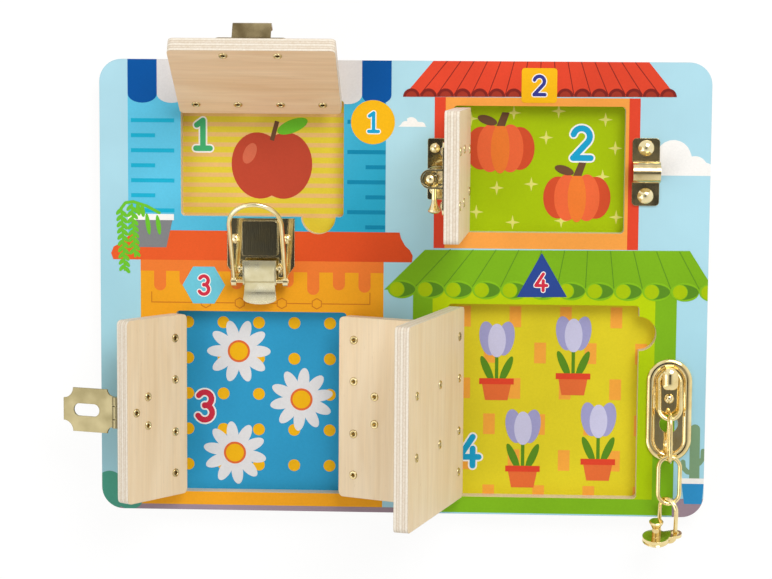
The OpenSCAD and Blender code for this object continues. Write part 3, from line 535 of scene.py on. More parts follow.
@dataclass(frozen=True)
class PlatedBrass:
    """Pressed steel with a brass plating: pale gold, with finger smudges and fine handling scratches."""

    plating: Plating

    def material(self) -> bpy.types.Material:
        """Make the plating's material.

        Returns:
            The material.
        """
        pale, deep, smooth, rough = self.plating.value
        material, nodes = new_material(f"brass_plated_steel_{self.plating.name.lower()}")
        where = nodes.add("ShaderNodeTexCoord").outputs["Object"]
        smudge = nodes.noise(where, per_metre(9), 3.0)
        scale = (per_metre(0.35), per_metre(9), per_metre(0.35))
        run = nodes.add("ShaderNodeMapping", {"Vector": where, "Rotation": (0.3, 0.2, 0.6), "Scale": scale})
        scratch = nodes.noise(run.outputs[0], 1.0, 2.0)
        fold = 0.9 if self.plating is Plating.AGED else 0.25
        rounded = nodes.add("ShaderNodeBevel", {"Radius": fold * MM}, samples=4).outputs[0]
        inputs = {"Height": scratch, "Strength": 0.12, "Distance": 0.06 * MM, "Normal": rounded}
        nodes.surface(
            {
                "Base Color": nodes.blend(nodes.remap(smudge, (0.35, 0.7)), linear(pale), linear(deep)),
                "Metallic": 1.0,
                "Roughness": nodes.remap(smudge, MIDDLE, (smooth, rough)),
                "Normal": nodes.add("ShaderNodeBump", inputs).outputs[0],
            }
        )
        return material


class Film:
    """Flat ink shapes, drawn in millimetres and pressed into one thin closed layer.

    Attributes:
        face: Solid that layers on the front face are cut to, made before the first print.
        slab: Solid that lapped layers are merged inside, made before the first print.
    """

    face: bpy.types.Object
    slab: bpy.types.Object

    def __init__(self) -> None:
        """Start with an empty layer."""
        self.mesh = bmesh.new()

    def _place(self, verts: Sequence[bmesh.types.BMVert], x: float, y: float, turn: float = 0.0) -> None:
        """Turn new points about the origin and set them at a spot.

        Args:
            verts: The points.
            x: Place across the board.
            y: Place up the board.
            turn: Degrees that they are turned.
        """
        bmesh.ops.rotate(
            self.mesh, verts=verts, cent=(0, 0, 0), matrix=Matrix.Rotation(math.radians(turn), 3, "Z")
        )
        bmesh.ops.translate(self.mesh, verts=verts, vec=(x, y, 0))

    def disc(
        self, x: float, y: float, rx: float, ry: float = 0.0, turn: float = 0.0, segments: int = 40
    ) -> "Film":
        """Add a round or oval spot.

        Args:
            x: Centre across the board.
            y: Centre up the board.
            rx: Radius, or half the width of an oval.
            ry: Half the height of an oval.
            turn: Degrees that it is turned.
            segments: Number of sides, so that few give a polygon.

        Returns:
            The film itself.
        """
        made = bmesh.ops.create_circle(self.mesh, cap_ends=True, segments=segments, radius=1.0)
        bmesh.ops.scale(self.mesh, verts=made["verts"], vec=(rx, ry or rx, 1))
        self._place(made["verts"], x, y, turn)
        return self

    def block(self, x0: float, y0: float, x1: float, y1: float) -> "Film":
        """Add an upright rectangle.

        Args:
            x0: Left side.
            y0: Lower side.
            x1: Right side.
            y1: Upper side.

        Returns:
            The film itself.
        """
        middle = (y0 + y1) / 2
        return self.stroke((x0, middle), (x1, middle), y1 - y0)

    def outline(self, points: Sequence[Point]) -> "Film":
        """Add a straight-sided shape.

        Args:
            points: Its corners in order.

        Returns:
            The film itself.
        """
        self.mesh.faces.new([self.mesh.verts.new((x, y, 0)) for x, y in points])
        return self

    def stroke(self, a: Point, b: Point, width: float) -> "Film":
        """Add a straight line.

        Args:
            a: First end.
            b: Second end.
            width: Width of the line.

        Returns:
            The film itself.
        """
        length, turn = math.dist(a, b), math.degrees(math.atan2(b[1] - a[1], b[0] - a[0]))
        made = bmesh.ops.create_grid(self.mesh, x_segments=1, y_segments=1, size=1.0)
        bmesh.ops.scale(self.mesh, verts=made["verts"], vec=(length / 2, width / 2, 1))
        self._place(made["verts"], (a[0] + b[0]) / 2, (a[1] + b[1]) / 2, turn)
        return self

    def hexagon(self, x: float, y: float, radius: float, width: float) -> None:
        """Add a six-sided line.

        Args:
            x: Centre across the board.
            y: Centre up the board.
            radius: Outer radius.
            width: Width of the line.
        """
        made = bmesh.ops.create_circle(self.mesh, cap_ends=True, segments=6, radius=radius)
        self._place(made["verts"], x, y)
        face = made["verts"][0].link_faces[0]
        bmesh.ops.inset_individual(self.mesh, faces=[face], thickness=width, use_even_offset=True)
        bmesh.ops.delete(self.mesh, geom=[face], context="FACES")

    def path(self, points: Sequence[Point], width: float) -> "Film":
        """Add a bent line with round ends and corners, whose parts lie over each other.

        Args:
            points: Its ends and corners in order.
            width: Width of the line.

        Returns:
            The film itself.
        """
        for a, b in zip(points, points[1:]):
            self.stroke(a, b, width)
        for x, y in points:
            self.disc(x, y, width / 2, segments=14)
        return self

    def press(
        self, name: str, level: int, ink: Ink, height: float = FACE_Z, lapped: bool = False,
        fade: Optional[Fade] = None,
    ) -> None:
        """Press the shapes into a thin layer that rides on the board.

        Args:
            name: Name of the piece.
            level: Place in the stack of layers, from 0.
            ink: Its colour.
            height: Height of the face that it is printed on.
            lapped: True where shapes of the layer lie over each other.
            fade: Slow change into another ink.
        """
        bm = self.mesh
        bm.normal_update()
        bmesh.ops.triangulate(bm, faces=bm.faces[:])
        bm.normal_update()
        bmesh.ops.reverse_faces(bm, faces=[f for f in bm.faces if f.normal.z < 0])
        bmesh.ops.solidify(bm, geom=bm.faces[:], thickness=INK)
        low = min(v.co.z for v in bm.verts)
        bmesh.ops.translate(bm, verts=bm.verts, vec=(0, 0, height + level * INK - low))
        bmesh.ops.scale(bm, verts=bm.verts, vec=(MM, MM, MM))
        if bm.calc_volume(signed=True) < 0:
            bmesh.ops.reverse_faces(bm, faces=bm.faces[:])
        piece = mesh_object(name, bm)
        if lapped or height == FACE_Z:
            self._cut(piece, lapped)
        coat(piece, PrintedInk(ink, fade).material())
        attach(piece, "board")
        LOG.info("printed %s in %s", name, ink.name)

    def _cut(self, piece: bpy.types.Object, lapped: bool) -> None:
        """Cut a layer to the board's outline and keep the result in its mesh.

        Args:
            piece: The layer.
            lapped: True where shapes of the layer lie over each other.
        """
        cutter = piece.modifiers.new("trim", "BOOLEAN")
        cutter.operation, cutter.solver = "INTERSECT", "EXACT"
        cutter.object, cutter.use_self = Film.slab if lapped else Film.face, lapped
        graph = bpy.context.evaluated_depsgraph_get()
        done = bpy.data.meshes.new_from_object(piece.evaluated_get(graph))
        piece.modifiers.clear()
        old, piece.data = piece.data, done
        bpy.data.meshes.remove(old)
        done.name = piece.name
        done.materials.clear()


def trim_block() -> bpy.types.Object:
    """Make a merged copy of the front panel that reaches above its face.

    Returns:
        The solid that the printed layers are cut to.
    """
    bm = bmesh.new()
    bm.from_mesh(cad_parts["front_panel"].data)
    bmesh.ops.remove_doubles(bm, verts=bm.verts, dist=1e-6)
    bmesh.ops.translate(bm, verts=bm.verts, vec=(0, 0, 3 * MM))
    bmesh.ops.recalc_face_normals(bm, faces=bm.faces)
    return mesh_object("trim_block", bm)


def rounded_box(x0: float, y0: float, x1: float, y1: float, radius: float) -> list[Point]:
    """Find the outline of a box with rounded corners.

    Args:
        x0: Left side.
        y0: Lower side.
        x1: Right side.
        y1: Upper side.
        radius: Radius of the corners.

    Returns:
        The points, anticlockwise.
    """
    left, right, low, high = x0 + radius, x1 - radius, y0 + radius, y1 - radius
    centres = ((right, high, 0), (left, high, 90), (left, low, 180), (right, low, 270))
    return [point for x, y, start in centres for point in arc(x, y, radius, start, start + 90)]


def slab_block() -> bpy.types.Object:
    """Make a plain slab round the front face and the recessed faces.

    Returns:
        The solid that lapped layers are merged inside.
    """
    low, high = FLOOR_Z - 2.5, FACE_Z + 3.5
    bm = bmesh.new()
    corners = rounded_box(-BOARD_X, -BOARD_Y, BOARD_X, BOARD_Y, BOARD_R)
    bm.faces.new([bm.verts.new((x, y, low)) for x, y in corners])
    grown = bmesh.ops.extrude_face_region(bm, geom=bm.faces[:])["geom"]
    top = [v for v in grown if isinstance(v, bmesh.types.BMVert)]
    bmesh.ops.translate(bm, verts=top, vec=(0, 0, high - low))
    bmesh.ops.scale(bm, verts=bm.verts, vec=(MM, MM, MM))
    bmesh.ops.recalc_face_normals(bm, faces=bm.faces)
    return mesh_object("slab_block", bm)


@dataclass
class StripedHouse:
    """House 1: cyan boards under a striped awning, with a potted plant."""

    left: float = -136.0
    right: float = -6.0
    sill: float = 25.5
    awning_low: float = 90.8
    hem: float = 4.5
    stripes: int = 9

    def build(self) -> None:
        """Print the house."""
        deeper = Fade(Ink.CYAN_DEEP, (1, -0.8, 0), -170, -40)
        wall = Film().block(self.left, self.sill, self.right - 2.6, 112.5)
        wall.press("print_wall_1", 0, Ink.CYAN, fade=deeper)
        half = (self.right - self.left) / self.stripes / 2
        angles = [math.pi * k / 12 for k in range(13)]
        for colour, start, level in ((Ink.OFF_WHITE, 1, 1), (Ink.NAVY, 0, 2)):
            cloth = Film()
            for i in range(start, self.stripes, 2):
                x = self.left + (2 * i + 1) * half
                hem = [
                    (x + half * math.cos(a), self.awning_low + self.hem * (1 - math.sin(a))) for a in angles
                ]
                cloth.outline([(x - half, 113), (x + half, 113)] + hem)
            cloth.press(f"print_awning_{colour.name.lower()}", level, colour)
        boards = Film()
        for i in range(8):
            y, odd = 82.2 - 7.4 * i, i % 2
            if i < 7:
                boards.block(self.left + 1.5, y - 1, -113 - 9.5 * odd, y + 1)
            if i != 1:
                boards.block(-27.5 + 9 * odd, y - 1, self.right - 2.6, y + 1)
        boards.press("print_wall_1_boards", 1, Ink.TEAL, fade=Fade(Ink.TEAL_DEEP, (1, 0, 0), -110, -30))
        self._plant()
        Film().disc(-15, 82.1, 10.8).press("print_badge_1", 3, Ink.SUN)
        numeral("badge_1", -15, 82.1, 10.8, Ink.BLUE, 4)

    def _plant(self) -> None:
        """Print a grey pot with trailing leaves, standing on the lower roof."""
        Film().outline([(-135.4, 34), (-113.8, 34), (-117.1, 19.5), (-130.6, 19.5)]).press(
            "print_plant_pot", 3, Ink.POT_GREY
        )
        Film().block(-136.2, 33, -113.3, 36).press("print_plant_pot_rim", 4, Ink.WHITE)
        stem = [(-139.6, 38.5), (-137.4, 41.4), (-133.6, 42), (-127, 40), (-120.6, 36.6)]
        leaves = Film().path(stem, 1.5)
        for x, top, low, lean in ((-139.4, 39, 7.6, 0.05), (-134.2, 41, 14.4, 0.06)):
            leaves.stroke((x, top), (x + lean * (top - low), low), 1.1)
            for k in range(int((top - low) / 3.1)):
                y = top - 1.4 - 3.1 * k
                at = x + lean * (top - y)
                for side in (-1, 1):
                    leaves.disc(at + side * 1.35, y - 0.6 - 1.1 * (side > 0), 2, 0.98, -50 * side, 12)
        tips = ((-126.2, 31, 5.4), (-121, 30.6, 5), (-131, 38.2, 3.2), (-128.8, 37.4, 3))
        for x, y, tall in tips:
            leaves.disc(x, y, 1.15, tall, 8, 16)
        leaves.press("print_plant_leaves", 5, Ink.PLANT, lapped=True)


def numeral(
    place: str, x: float, y: float, height: float, ink: Ink, level: int, base: float = FACE_Z
) -> None:
    """Print a plain numeral with a white border.

    Args:
        place: Name of what it is printed on, with the numeral as its last character.
        x: Centre across the board.
        y: Centre up the board.
        height: Height of the numeral.
        ink: Its colour.
        level: Layer of the border; the numeral lies on it.
        base: Height of the face that it is printed on.
    """
    weight = 0.175 if base < FACE_Z else 0.165
    scale = height / (0.86 + weight)
    for name, swell, tint, above in (("_border", height * 0.045, Ink.WHITE, 0), ("", 0, ink, 1)):
        film = Film()
        for line in DIGITS[place[-1]]:
            film.path([(x + scale * u, y + scale * v) for u, v in line], weight * scale + 2 * swell)
        film.press(f"print_{place}_numeral{name}", level + above, tint, base, True)


@dataclass
class RedHouse:
    """House 2: an orange front between red columns under a tiled red roof."""

    left: float = 15.2
    right: float = 115.5
    column: float = 5.4
    low: float = 20.5
    eaves: float = 94.6

    def build(self) -> None:
        """Print the house."""
        Film().block(self.left + self.column, self.low, self.right - self.column, self.eaves).press(
            "print_wall_2", 0, Ink.APRICOT
        )
        Film().block(self.left, self.low, self.left + self.column, self.eaves).block(
            self.right - self.column, self.low, self.right, self.eaves
        ).press("print_columns_2", 1, Ink.VERMILION)
        Film().outline([(15.1, 113), (118.6, 113), (133, 95.4), (-0.4, 94.6)]).press(
            "print_roof_2", 2, Ink.VERMILION
        )
        slats, ends, tips = Film(), Film(), Film()
        for i in range(17):
            x, top = -0.4 + 133.4 * i / 16, 15.1 + 103.5 * i / 16
            low = 94.65 + 0.05 * i
            if 0 < i < 16:
                slats.stroke((top, 112.6), (x, low + 1), 0.4)
            if i < 16:
                ends.outline(arc(x + 4.17, low, 4.1, 0, 180, 16))
                tips.outline(arc(x + 4.17, low, 2.7, 0, 180, 16))
        slats.press("print_roof_2_slats", 3, Ink.OXBLOOD)
        ends.press("print_roof_2_ends", 4, Ink.OXBLOOD)
        tips.press("print_roof_2_tips", 5, Ink.BRICK)
        Film().outline(rounded_box(57.5, 92.1, 74.8, 109, 1.6)).press("print_badge_2", 6, Ink.SUN)
        numeral("badge_2", 66.1, 100.6, 10.6, Ink.INDIGO, 7)


@dataclass
class HoneyHouse:
    """House 3: a marigold front with a dripping edge under a flat red roof."""

    left: float = -130.0
    right: float = -9.3
    low: float = -110.0

    def build(self) -> None:
        """Print the house."""
        Film().block(self.left, self.low, self.right, 14).press("print_wall_3", 0, Ink.MARIGOLD)
        Film().outline(
            [
                (-143.6, 13.3), (4.6, 13.3), (5, 16.5), (3.6, 19.2), (1.2, 21.5), (-0.8, 25),
                (-1.6, 28), (-134.4, 28), (-136.2, 24.8), (-139.2, 21.8), (-143.4, 19.6), (-144.7, 16.4),
            ]
        ).press("print_roof_3", 2, Ink.FLAME, fade=Fade(Ink.FLAME_DEEP, (1, 0, 0), -110, 0))
        drips = Film().block(self.left, 7.8, self.right, 14)
        for i in range(9):
            x, low = self.left + 9.7 + 12.7 * i, (1, 3.2, -0.4, 2)[i % 4]
            drips.block(x - 3, low, x + 3, 9).disc(x, low, 3)
        drips.press("print_wall_3_drips", 1, Ink.TANGERINE, lapped=True)
        line = Film()
        spots = (-97.5, -80.6, -59.7, -42.3)
        for a, b in zip((-124.5,) + spots, spots + (-16,)):
            line.stroke((a + (2.6 if a in spots else 0), -7.8), (b - (2.6 if b in spots else 0), -7.8), 0.5)
        for x in spots:
            line.hexagon(x, -7.8, 2.9, 0.5)
        line.stroke((-124.5, -8), (-124.5, -2.6), 0.5).stroke((-16, -8), (-16, -2), 0.5)
        line.press("print_wall_3_line", 2, Ink.OCHRE_LINE, lapped=True)
        Film().disc(-98.5, 0.9, 10.6, turn=30, segments=6).press("print_badge_3", 4, Ink.AQUA)
        numeral("badge_3", -98.5, 0.9, 10.8, Ink.CRIMSON, 5)


@dataclass
class GreenHouse:
    """House 4: green and lime walls under a leaf-green tiled roof, with a cactus beside it."""

    left: float = 5.3
    right: float = 135.0
    eaves: float = -0.2

    def build(self) -> None:
        """Print the house."""
        Film().block(self.left, -111.5, self.right, self.eaves).press("print_wall_4", 0, Ink.LEAF)
        brighter = Fade(Ink.LIME_BRIGHT, (0, 1, 0), -50, -8)
        Film().block(15, -103.6, 124.5, self.eaves).press("print_frame_4", 1, Ink.LIME, fade=brighter)
        Film().outline([(11, 19.6), (140.8, 20.4), (152, 3), (152, -0.4), (-9, -0.4)]).press(
            "print_roof_4", 2, Ink.LEAF
        )
        slats, rims, shade, cores = Film(), Film(), Film(), Film()
        crescent = [(9.1 * u - 2.4, 3.85 * v) for u, v in arc(0, 0, 1, 90, -90, 16)]
        crescent += arc(-2.4, 0, 3.85, -90, 90, 16)[1:-1]
        for i in range(12):
            x = -0.3 + 13.91 * i
            low = x - 6.95
            if i > 0:
                slats.stroke((11 + 0.806 * (low + 9), 20), (low, 1.6), 0.4)
            rims.disc(x, 0, 6.95, 4.6)
            shade.outline([(x + u, v) for u, v in crescent])
            cores.disc(x - 2.4, 0, 3.5)
        slats.press("print_roof_4_slats", 3, Ink.LEAF_DEEP)
        rims.press("print_roof_4_ends", 4, Ink.LEAF_BRIGHT)
        shade.press("print_roof_4_shade", 5, Ink.LEAF_DEEP)
        cores.press("print_roof_4_cores", 6, Ink.LIME)
        Film().outline([(56.5, -3.3), (81.1, -3), (68.5, 18.6)]).press(
            "print_badge_4", 7, Ink.ULTRAMARINE
        )
        numeral("badge_4", 68.4, 4.2, 9.8, Ink.CRIMSON, 8)
        self._cactus()

    def _cactus(self) -> None:
        """Print a sage cactus in a blue pot with a white rim."""
        body = Film().path([(145.2, -68), (145.3, -93)], 5)
        body.path([(149.4, -78.8), (149.3, -82.6), (147.6, -85), (145.2, -85.6)], 2.4)
        body.path([(139.6, -84.4), (139.9, -87.4), (141.8, -89.4), (145.2, -89.8)], 2.4)
        body.press("print_cactus", 1, Ink.SAGE, lapped=True)
        Film().outline([(139, -94.4), (150.1, -94.4), (149.2, -105.5), (140.5, -105.5)]).press(
            "print_cactus_pot", 2, Ink.POT_BLUE
        )
        Film().block(138.2, -95.3, 150.6, -92.6).press("print_cactus_pot_rim", 3, Ink.WHITE)


@dataclass
class Grounds:
    """Clouds, bush and ground strip around the houses."""

    top: float = -109.6

    def build(self) -> None:
        """Print the grounds."""
        Film().block(-151, -113, 6, self.top).block(134.6, -113, 151, -102.9).press(
            "print_ground", 1, Ink.MAUVE
        )
        Film().disc(-146.2, -103.6, 8.2, 10.4).disc(-136, -107.6, 6.4, 5).press(
            "print_bush", 2, Ink.BUSH, lapped=True
        )
        right = arc(131.9, 66, 8.6, 188, 20) + arc(142.4, 60.6, 6.2, 105, 30)
        right += [(151, 62.6), (151, 57.2)]
        left = arc(1, 80.6, 2.2, 165, 70) + arc(3.8, 81.4, 3.3, 130, 20) + arc(8.6, 80.2, 2.2, 110, 5)
        Film().outline([(124.6, 57.2)] + right).outline([(-2.6, 80)] + left + [(11.2, 80)]).press(
            "print_clouds", 0, Ink.WHITE
        )


@dataclass
class PicturePanels:
    """The four pictures behind the doors: counted plants on patterned grounds."""

    windows: tuple[tuple[float, float, float, float], ...] = (
        (-109.75, 35.25, -29.25, 92.75),
        (24.5, 28.5, 108.5, 90.5),
        (-112.5, -103, -27.5, -12),
        (22.75, -103.45, 116.75, -6.95),
    )
    # Reach of each window's finger notch, to the right and down
    notches: tuple[Point, ...] = ((0, 9), (0, 0), (0, 0), (9, 0))

    def build(self) -> None:
        """Print all four pictures on the recessed panel."""
        grounds = (Ink.LEMON, Ink.LIME, Ink.LAKE, Ink.GOLDEN)
        rows = zip(grounds, self.windows, self.notches)
        for i, (ink, (x0, y0, x1, y1), (right, low)) in enumerate(rows, 1):
            Film().block(x0 - 1, y0 - 1 - low, x1 + 1 + right, y1 + 1).press(
                f"picture_{i}_ground", 0, ink, FLOOR_Z
            )
        self._apple()
        self._pumpkins()
        self._daisies()
        self._tulips()

    def _apple(self) -> None:
        """Print one apple on stripes."""
        x0, _, x1, y1 = self.windows[0]
        stripes = Film()
        for i in range(12):
            y = y1 - 2.5 - 5 * i
            stripes.block(x0 - 1, y - 1.05, x1 + 1, y + 1.05)
        stripes.press("picture_1_stripes", 1, Ink.PEACH, FLOOR_Z)
        x, y = -65.5, 60
        Film().disc(x - 6.5, y, 13.5, 16.5, 8).disc(x + 6.5, y, 13.5, 16.5, -8).press(
            "picture_1_apple", 2, Ink.RUST, FLOOR_Z, True
        )
        Film().disc(x - 11, y + 6, 3, 5.4, -24).press("picture_1_apple_shine", 3, Ink.RUST_PALE, FLOOR_Z)
        Film().stroke((x, y + 12.5), (x + 2.6, y + 22), 2.2).press(
            "picture_1_apple_stalk", 3, Ink.BARK, FLOOR_Z
        )
        Film().disc(x + 10.2, y + 19.6, 8, 3.2, 22).press("picture_1_apple_leaf", 4, Ink.PLANT, FLOOR_Z)
        numeral("picture_1", -100.3, 75.2, 16.6, Ink.EMERALD, 2, FLOOR_Z)

    def _pumpkins(self) -> None:
        """Print two pumpkins among four-pointed stars."""
        stars = Film()
        for x, y in (
            (33, 84), (54, 87), (76, 88), (99, 84), (70, 75), (30, 60), (63, 52), (98, 56), (36, 38),
            (54, 33), (105, 36), (78, 34), (104, 70), (46, 50),
        ):
            star = [(3.6 if k % 2 == 0 else 1, math.radians(45 * k)) for k in range(8)]
            stars.outline([(x + r * math.cos(a), y + r * math.sin(a)) for r, a in star])
        stars.press("picture_2_stars", 1, Ink.LIME_PALE, FLOOR_Z)
        outer, inner, core, stalk = Film(), Film(), Film(), Film()
        for x, y, s in ((47.5, 69.5, 1), (85.5, 45.5, 0.98)):
            outer.disc(x - 9.5 * s, y, 7.4 * s, 10.6 * s).disc(x + 9.5 * s, y, 7.4 * s, 10.6 * s)
            inner.disc(x - 5 * s, y, 6.4 * s, 11.8 * s).disc(x + 5 * s, y, 6.4 * s, 11.8 * s)
            core.disc(x, y, 4.6 * s, 12.4 * s)
            low, high = y + 11 * s, y + 17.6 * s
            stalk.outline([(x - 2, low), (x + 2.2, low), (x + 4.4, high), (x + 0.8, high + 0.2 * s)])
            stalk.disc(x - 6.5 * s, y + 13.8 * s, 5 * s, 2.2 * s, -18)
        outer.press("picture_2_pumpkin_sides", 2, Ink.PUMPKIN_DEEP, FLOOR_Z, True)
        inner.press("picture_2_pumpkin_ribs", 3, Ink.PUMPKIN, FLOOR_Z, True)
        core.press("picture_2_pumpkin_cores", 4, Ink.TANGERINE, FLOOR_Z)
        stalk.press("picture_2_pumpkin_stalks", 5, Ink.BARK, FLOOR_Z, True)
        numeral("picture_2", 87.4, 72.4, 17.6, Ink.BLUE, 2, FLOOR_Z)

    def _daisies(self) -> None:
        """Print three daisies on dots."""
        dots = Film()
        for i in range(5):
            for j in range(5):
                dots.disc(-107.5 + 17.8 * i, -18.5 - 18 * j, 3, segments=28)
        dots.press("picture_3_dots", 1, Ink.SUN, FLOOR_Z)
        petals, hearts, rims = Film(), Film(), Film()
        for x, y, turn in ((-82, -33, 0), (-50.5, -57, 12), (-84, -84.5, 25)):
            for k in range(10):
                a = math.radians(36 * k + turn)
                petals.disc(x + 9.6 * math.cos(a), y + 9.6 * math.sin(a), 6.4, 2.9, 36 * k + turn, 24)
            rims.disc(x, y, 5.6)
            hearts.disc(x, y, 4.5)
        petals.press("picture_3_daisy_petals", 2, Ink.PETAL, FLOOR_Z, True)
        rims.press("picture_3_daisy_rims", 3, Ink.TERRACOTTA, FLOOR_Z)
        hearts.press("picture_3_daisy_hearts", 4, Ink.SUN, FLOOR_Z)
        numeral("picture_3", -99.2, -61, 17, Ink.CRIMSON, 2, FLOOR_Z)

    def _tulips(self) -> None:
        """Print four potted tulips on staggered bricks."""
        bricks = Film()
        for j in range(6):
            for i in range(5):
                x, y = 31 + 25 * i - 12.5 * (j % 2), -14 - 18 * j
                bricks.block(x - 2.9, y - 5.2, x + 2.9, y + 5.2)
        bricks.press("picture_4_bricks", 1, Ink.HONEY, FLOOR_Z)
        stems, pots, rims, outer, heart = Film(), Film(), Film(), Film(), Film()
        for x, y in ((47, -37), (85, -34), (60.5, -81), (98, -77)):
            stems.stroke((x, y - 9), (x, y + 6), 1.7)
            stems.disc(x - 4.8, y - 3.5, 1.9, 7.2, 24).disc(x + 4.8, y - 3.5, 1.9, 7.2, -24)
            pots.outline([(x - 7.6, y - 9), (x + 7.6, y - 9), (x + 5.6, y - 19), (x - 5.6, y - 19)])
            rims.block(x - 8.6, y - 11, x + 8.6, y - 8)
            outer.disc(x - 4.4, y + 12, 4.2, 8.6, 10).disc(x + 4.4, y + 12, 4.2, 8.6, -10)
            heart.disc(x, y + 11, 4.4, 8.4)
        stems.press("picture_4_tulip_stems", 2, Ink.LEAF_DEEP, FLOOR_Z, True)
        pots.press("picture_4_pots", 3, Ink.TERRACOTTA, FLOOR_Z)
        rims.press("picture_4_pot_rims", 4, Ink.VERMILION, FLOOR_Z)
        outer.press("picture_4_tulip_sides", 3, Ink.LILAC_DEEP, FLOOR_Z, True)
        heart.press("picture_4_tulip_hearts", 4, Ink.LILAC, FLOOR_Z)
        numeral("picture_4", 33.8, -82, 17.6, Ink.BLUE, 2, FLOOR_Z)


@dataclass
class Panels:
    """The wooden panels: the board's two layers and the five doors."""

    front: float = 8.0
    back: float = 4.0
    door: float = 6.9

    def dress(self) -> None:
        """Give every wooden panel its plywood."""
        flat = PanelAxes(0, 0, 0, 0, 0)
        sky = PrintedInk(Ink.SKY, Fade(Ink.SKY_DEEP, (-0.2, -1.0, 0), -70, 40))
        finishes = {
            "front_panel": BirchPlywood("front", flat, FACE_Z, self.front, 5, print_ink=sky),
            "back_panel": BirchPlywood("back", flat, self.back, self.back, 3, True),
        }
        hinge = FACE_Z + KNUCKLE
        doors = {
            "door_1": PanelAxes(-69.5, 92.75, hinge, -90, 123),
            "door_2": PanelAxes(24.5, 59.5, hinge, 0, 93),
            "door_3_left": PanelAxes(-112.5, -57.5, hinge, 0, 126),
            "door_3_right": PanelAxes(-27.5, -57.5, hinge, 180, 154.5),
            "door_4": PanelAxes(22.75, -55.2, hinge, 0, 105),
        }
        for name, axes in doors.items():
            # Door 1's veneer is painted pinker than the other doors: painted warm light, bounced onto its
            # shaded inner face from the yellow picture under it
            painted_bounce_light = {"face": "#F5D5AF", "late": "#EAC499"} if name == "door_1" else {}
            finishes[name] = BirchPlywood(name, axes, -KNUCKLE, self.door, 5, **painted_bounce_light)
        for name, finish in finishes.items():
            coat(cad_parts[name], finish.material())
            LOG.info("dressed %s in birch plywood", name)


@dataclass
class Fittings:
    """The hinges, latches, chain and rivets."""

    wood: tuple[str, ...] = (
        "front_panel", "back_panel", "door_1", "door_2", "door_3_left", "door_3_right", "door_4",
    )
    kinds: tuple[tuple[Plating, tuple[str, ...]], ...] = (
        (Plating.SATIN, ("hasp_flap", "hasp_leaf")),
        (Plating.SOFT, ("toggle_lever",)),
        (Plating.GOLDEN, ("chain_anchor", "chain_plug") + tuple(f"chain_link_{i}" for i in range(1, 5))),
        (Plating.AGED, ("toggle_catch",)),
        (Plating.WORN, ("bolt_keeper",) + tuple(f"door_{d}_rivets" for d in ("1", "2", "3l", "3r", "4"))),
    )

    def dress(self) -> None:
        """Give every fitting its plating."""
        made = {kind: PlatedBrass(kind).material() for kind in Plating}
        for name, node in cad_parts.items():
            if name in self.wood:
                continue
            kind = next((k for k, names in self.kinds if name in names), Plating.BRIGHT)
            coat(node, made[kind])
            LOG.info("dressed %s in %s brass", name, kind.name.lower())


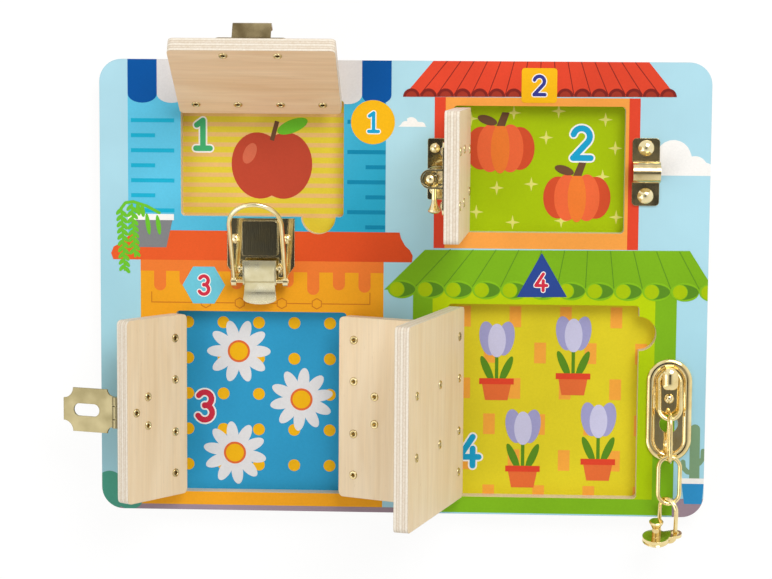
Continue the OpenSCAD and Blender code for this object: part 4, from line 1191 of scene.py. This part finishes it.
@dataclass
class Studio:
    """Floor, lights and camera."""

    eye: Triple = (42.0, 112.3, 1082.2)
    lens: float = 101.7
    paper_glow: float = 0.84
    # Brightness of the room by distance from the dark ceiling's middle
    ceiling: Triple = (0.0, -0.02, 1.0)
    stops: tuple[Point, ...] = ((0.12, 0.035), (0.2, 0.3), (0.36, 0.75), (0.6, 0.95), (0.9, 1.0))

    def build(self) -> None:
        """Set up the studio."""
        self._floor()
        self._lights()
        self._world()
        self._camera()
        bpy.context.scene.view_settings.view_transform = "Standard"

    def _floor(self) -> None:
        """Lay a plain white table under the board."""
        bm = bmesh.new()
        bmesh.ops.create_grid(bm, x_segments=1, y_segments=1, size=6.0)
        bmesh.ops.translate(bm, verts=bm.verts, vec=(0, 0, -0.3 * MM))
        table = mesh_object("table", bm)
        material, nodes = new_material("white_paper_sweep")
        paper = nodes.add("ShaderNodeBsdfDiffuse", {"Color": linear("#F4F4F2")})
        glow = nodes.add("ShaderNodeEmission", {"Color": (1, 1, 1, 1), "Strength": 1.03})
        share = nodes.math("MULTIPLY", nodes.seen(), self.paper_glow)
        mix = nodes.add("ShaderNodeMixShader", {0: share, 1: paper.outputs[0], 2: glow.outputs[0]})
        nodes.add("ShaderNodeOutputMaterial", {"Surface": mix.outputs[0]})
        coat(table, material)

    def _lights(self) -> None:
        """Hang two soft lamps: a large one above the board's top right, a small one opposite."""
        for name, at, size, power in (
            ("softbox_key", (0.45, 0.75, 1.0), 0.7, 9.0),
            ("softbox_fill", (-0.9, -0.35, 0.9), 0.9, 4.0),
        ):
            lamp = bpy.data.lights.new(name, "AREA")
            lamp.energy, lamp.size, lamp.shape = power, size, "SQUARE"
            holder = bpy.data.objects.new(name, lamp)
            holder.location = at
            holder.rotation_euler = (-Vector(at)).to_track_quat("-Z", "Y").to_euler()
            bpy.context.scene.collection.objects.link(holder)

    def _world(self) -> None:
        """Make a pale room: even light on the board, and a white backdrop that the metal also shows."""
        world = bpy.data.worlds.new("pale_room")
        world.use_nodes = True
        nodes = Nodes(world.node_tree)
        way = nodes.add("ShaderNodeTexCoord").outputs["Generated"]
        # The ceiling behind the lens is dark, the walls and the sweep are white
        height = nodes.add("ShaderNodeSeparateXYZ", {0: way}).outputs[2]
        below = nodes.math("LESS_THAN", height, 0.0)
        away = nodes.add("ShaderNodeVectorMath", {0: way, 1: self.ceiling}, operation="DISTANCE")
        ramp = nodes.add("ShaderNodeValToRGB", {0: nodes.math("MAXIMUM", away.outputs["Value"], below)})
        elements = ramp.color_ramp.elements
        elements[0].position, elements[1].position = self.stops[0][0], self.stops[-1][0]
        for at, _ in self.stops[1:-1]:
            elements.new(at)
        for element, (_, value) in zip(elements, self.stops):
            element.color = (value, value, value, 1.0)
        room = nodes.add("ShaderNodeBackground", {"Color": (1.0, 0.99, 0.975, 1.0), "Strength": 0.6})
        backdrop = nodes.add("ShaderNodeBackground", {"Color": ramp.outputs[0], "Strength": 1.0})
        inputs = {0: nodes.seen(), 1: room.outputs[0], 2: backdrop.outputs[0]}
        mix = nodes.add("ShaderNodeMixShader", inputs)
        nodes.add("ShaderNodeOutputWorld", {"Surface": mix.outputs[0]})
        bpy.context.scene.world = world

    def _camera(self) -> None:
        """Set the camera above the board, as the photograph was taken."""
        data = bpy.data.cameras.new("camera")
        data.lens, data.sensor_width, data.sensor_fit = self.lens, 36.0, "HORIZONTAL"
        data.clip_start, data.clip_end = 0.05, 50.0
        camera = bpy.data.objects.new("camera", data)
        right, up, back = (0.9989, 0.0065, -0.0474), (-0.0114, 0.9945, -0.1041), (0.0465, 0.1045, 0.9934)
        camera.rotation_mode = "QUATERNION"
        camera.rotation_quaternion = Matrix((right, up, back)).transposed().to_quaternion()
        camera.location = Vector(self.eye) * MM
        bpy.context.scene.collection.objects.link(camera)
        bpy.context.scene.camera = camera


def main() -> None:
    """Build the prints, dress the solids and set up the studio."""
    logging.basicConfig(level=logging.INFO, format="%(name)s: %(message)s")
    Studio().build()
    Film.face, Film.slab = trim_block(), slab_block()
    for art in (StripedHouse(), RedHouse(), HoneyHouse(), GreenHouse(), Grounds(), PicturePanels()):
        art.build()
    # These solids are tools and no pieces
    for helper in (Film.face, Film.slab):
        bpy.data.objects.remove(helper)
    Panels().dress()
    Fittings().dress()


if __name__ == "__main__":
    main()
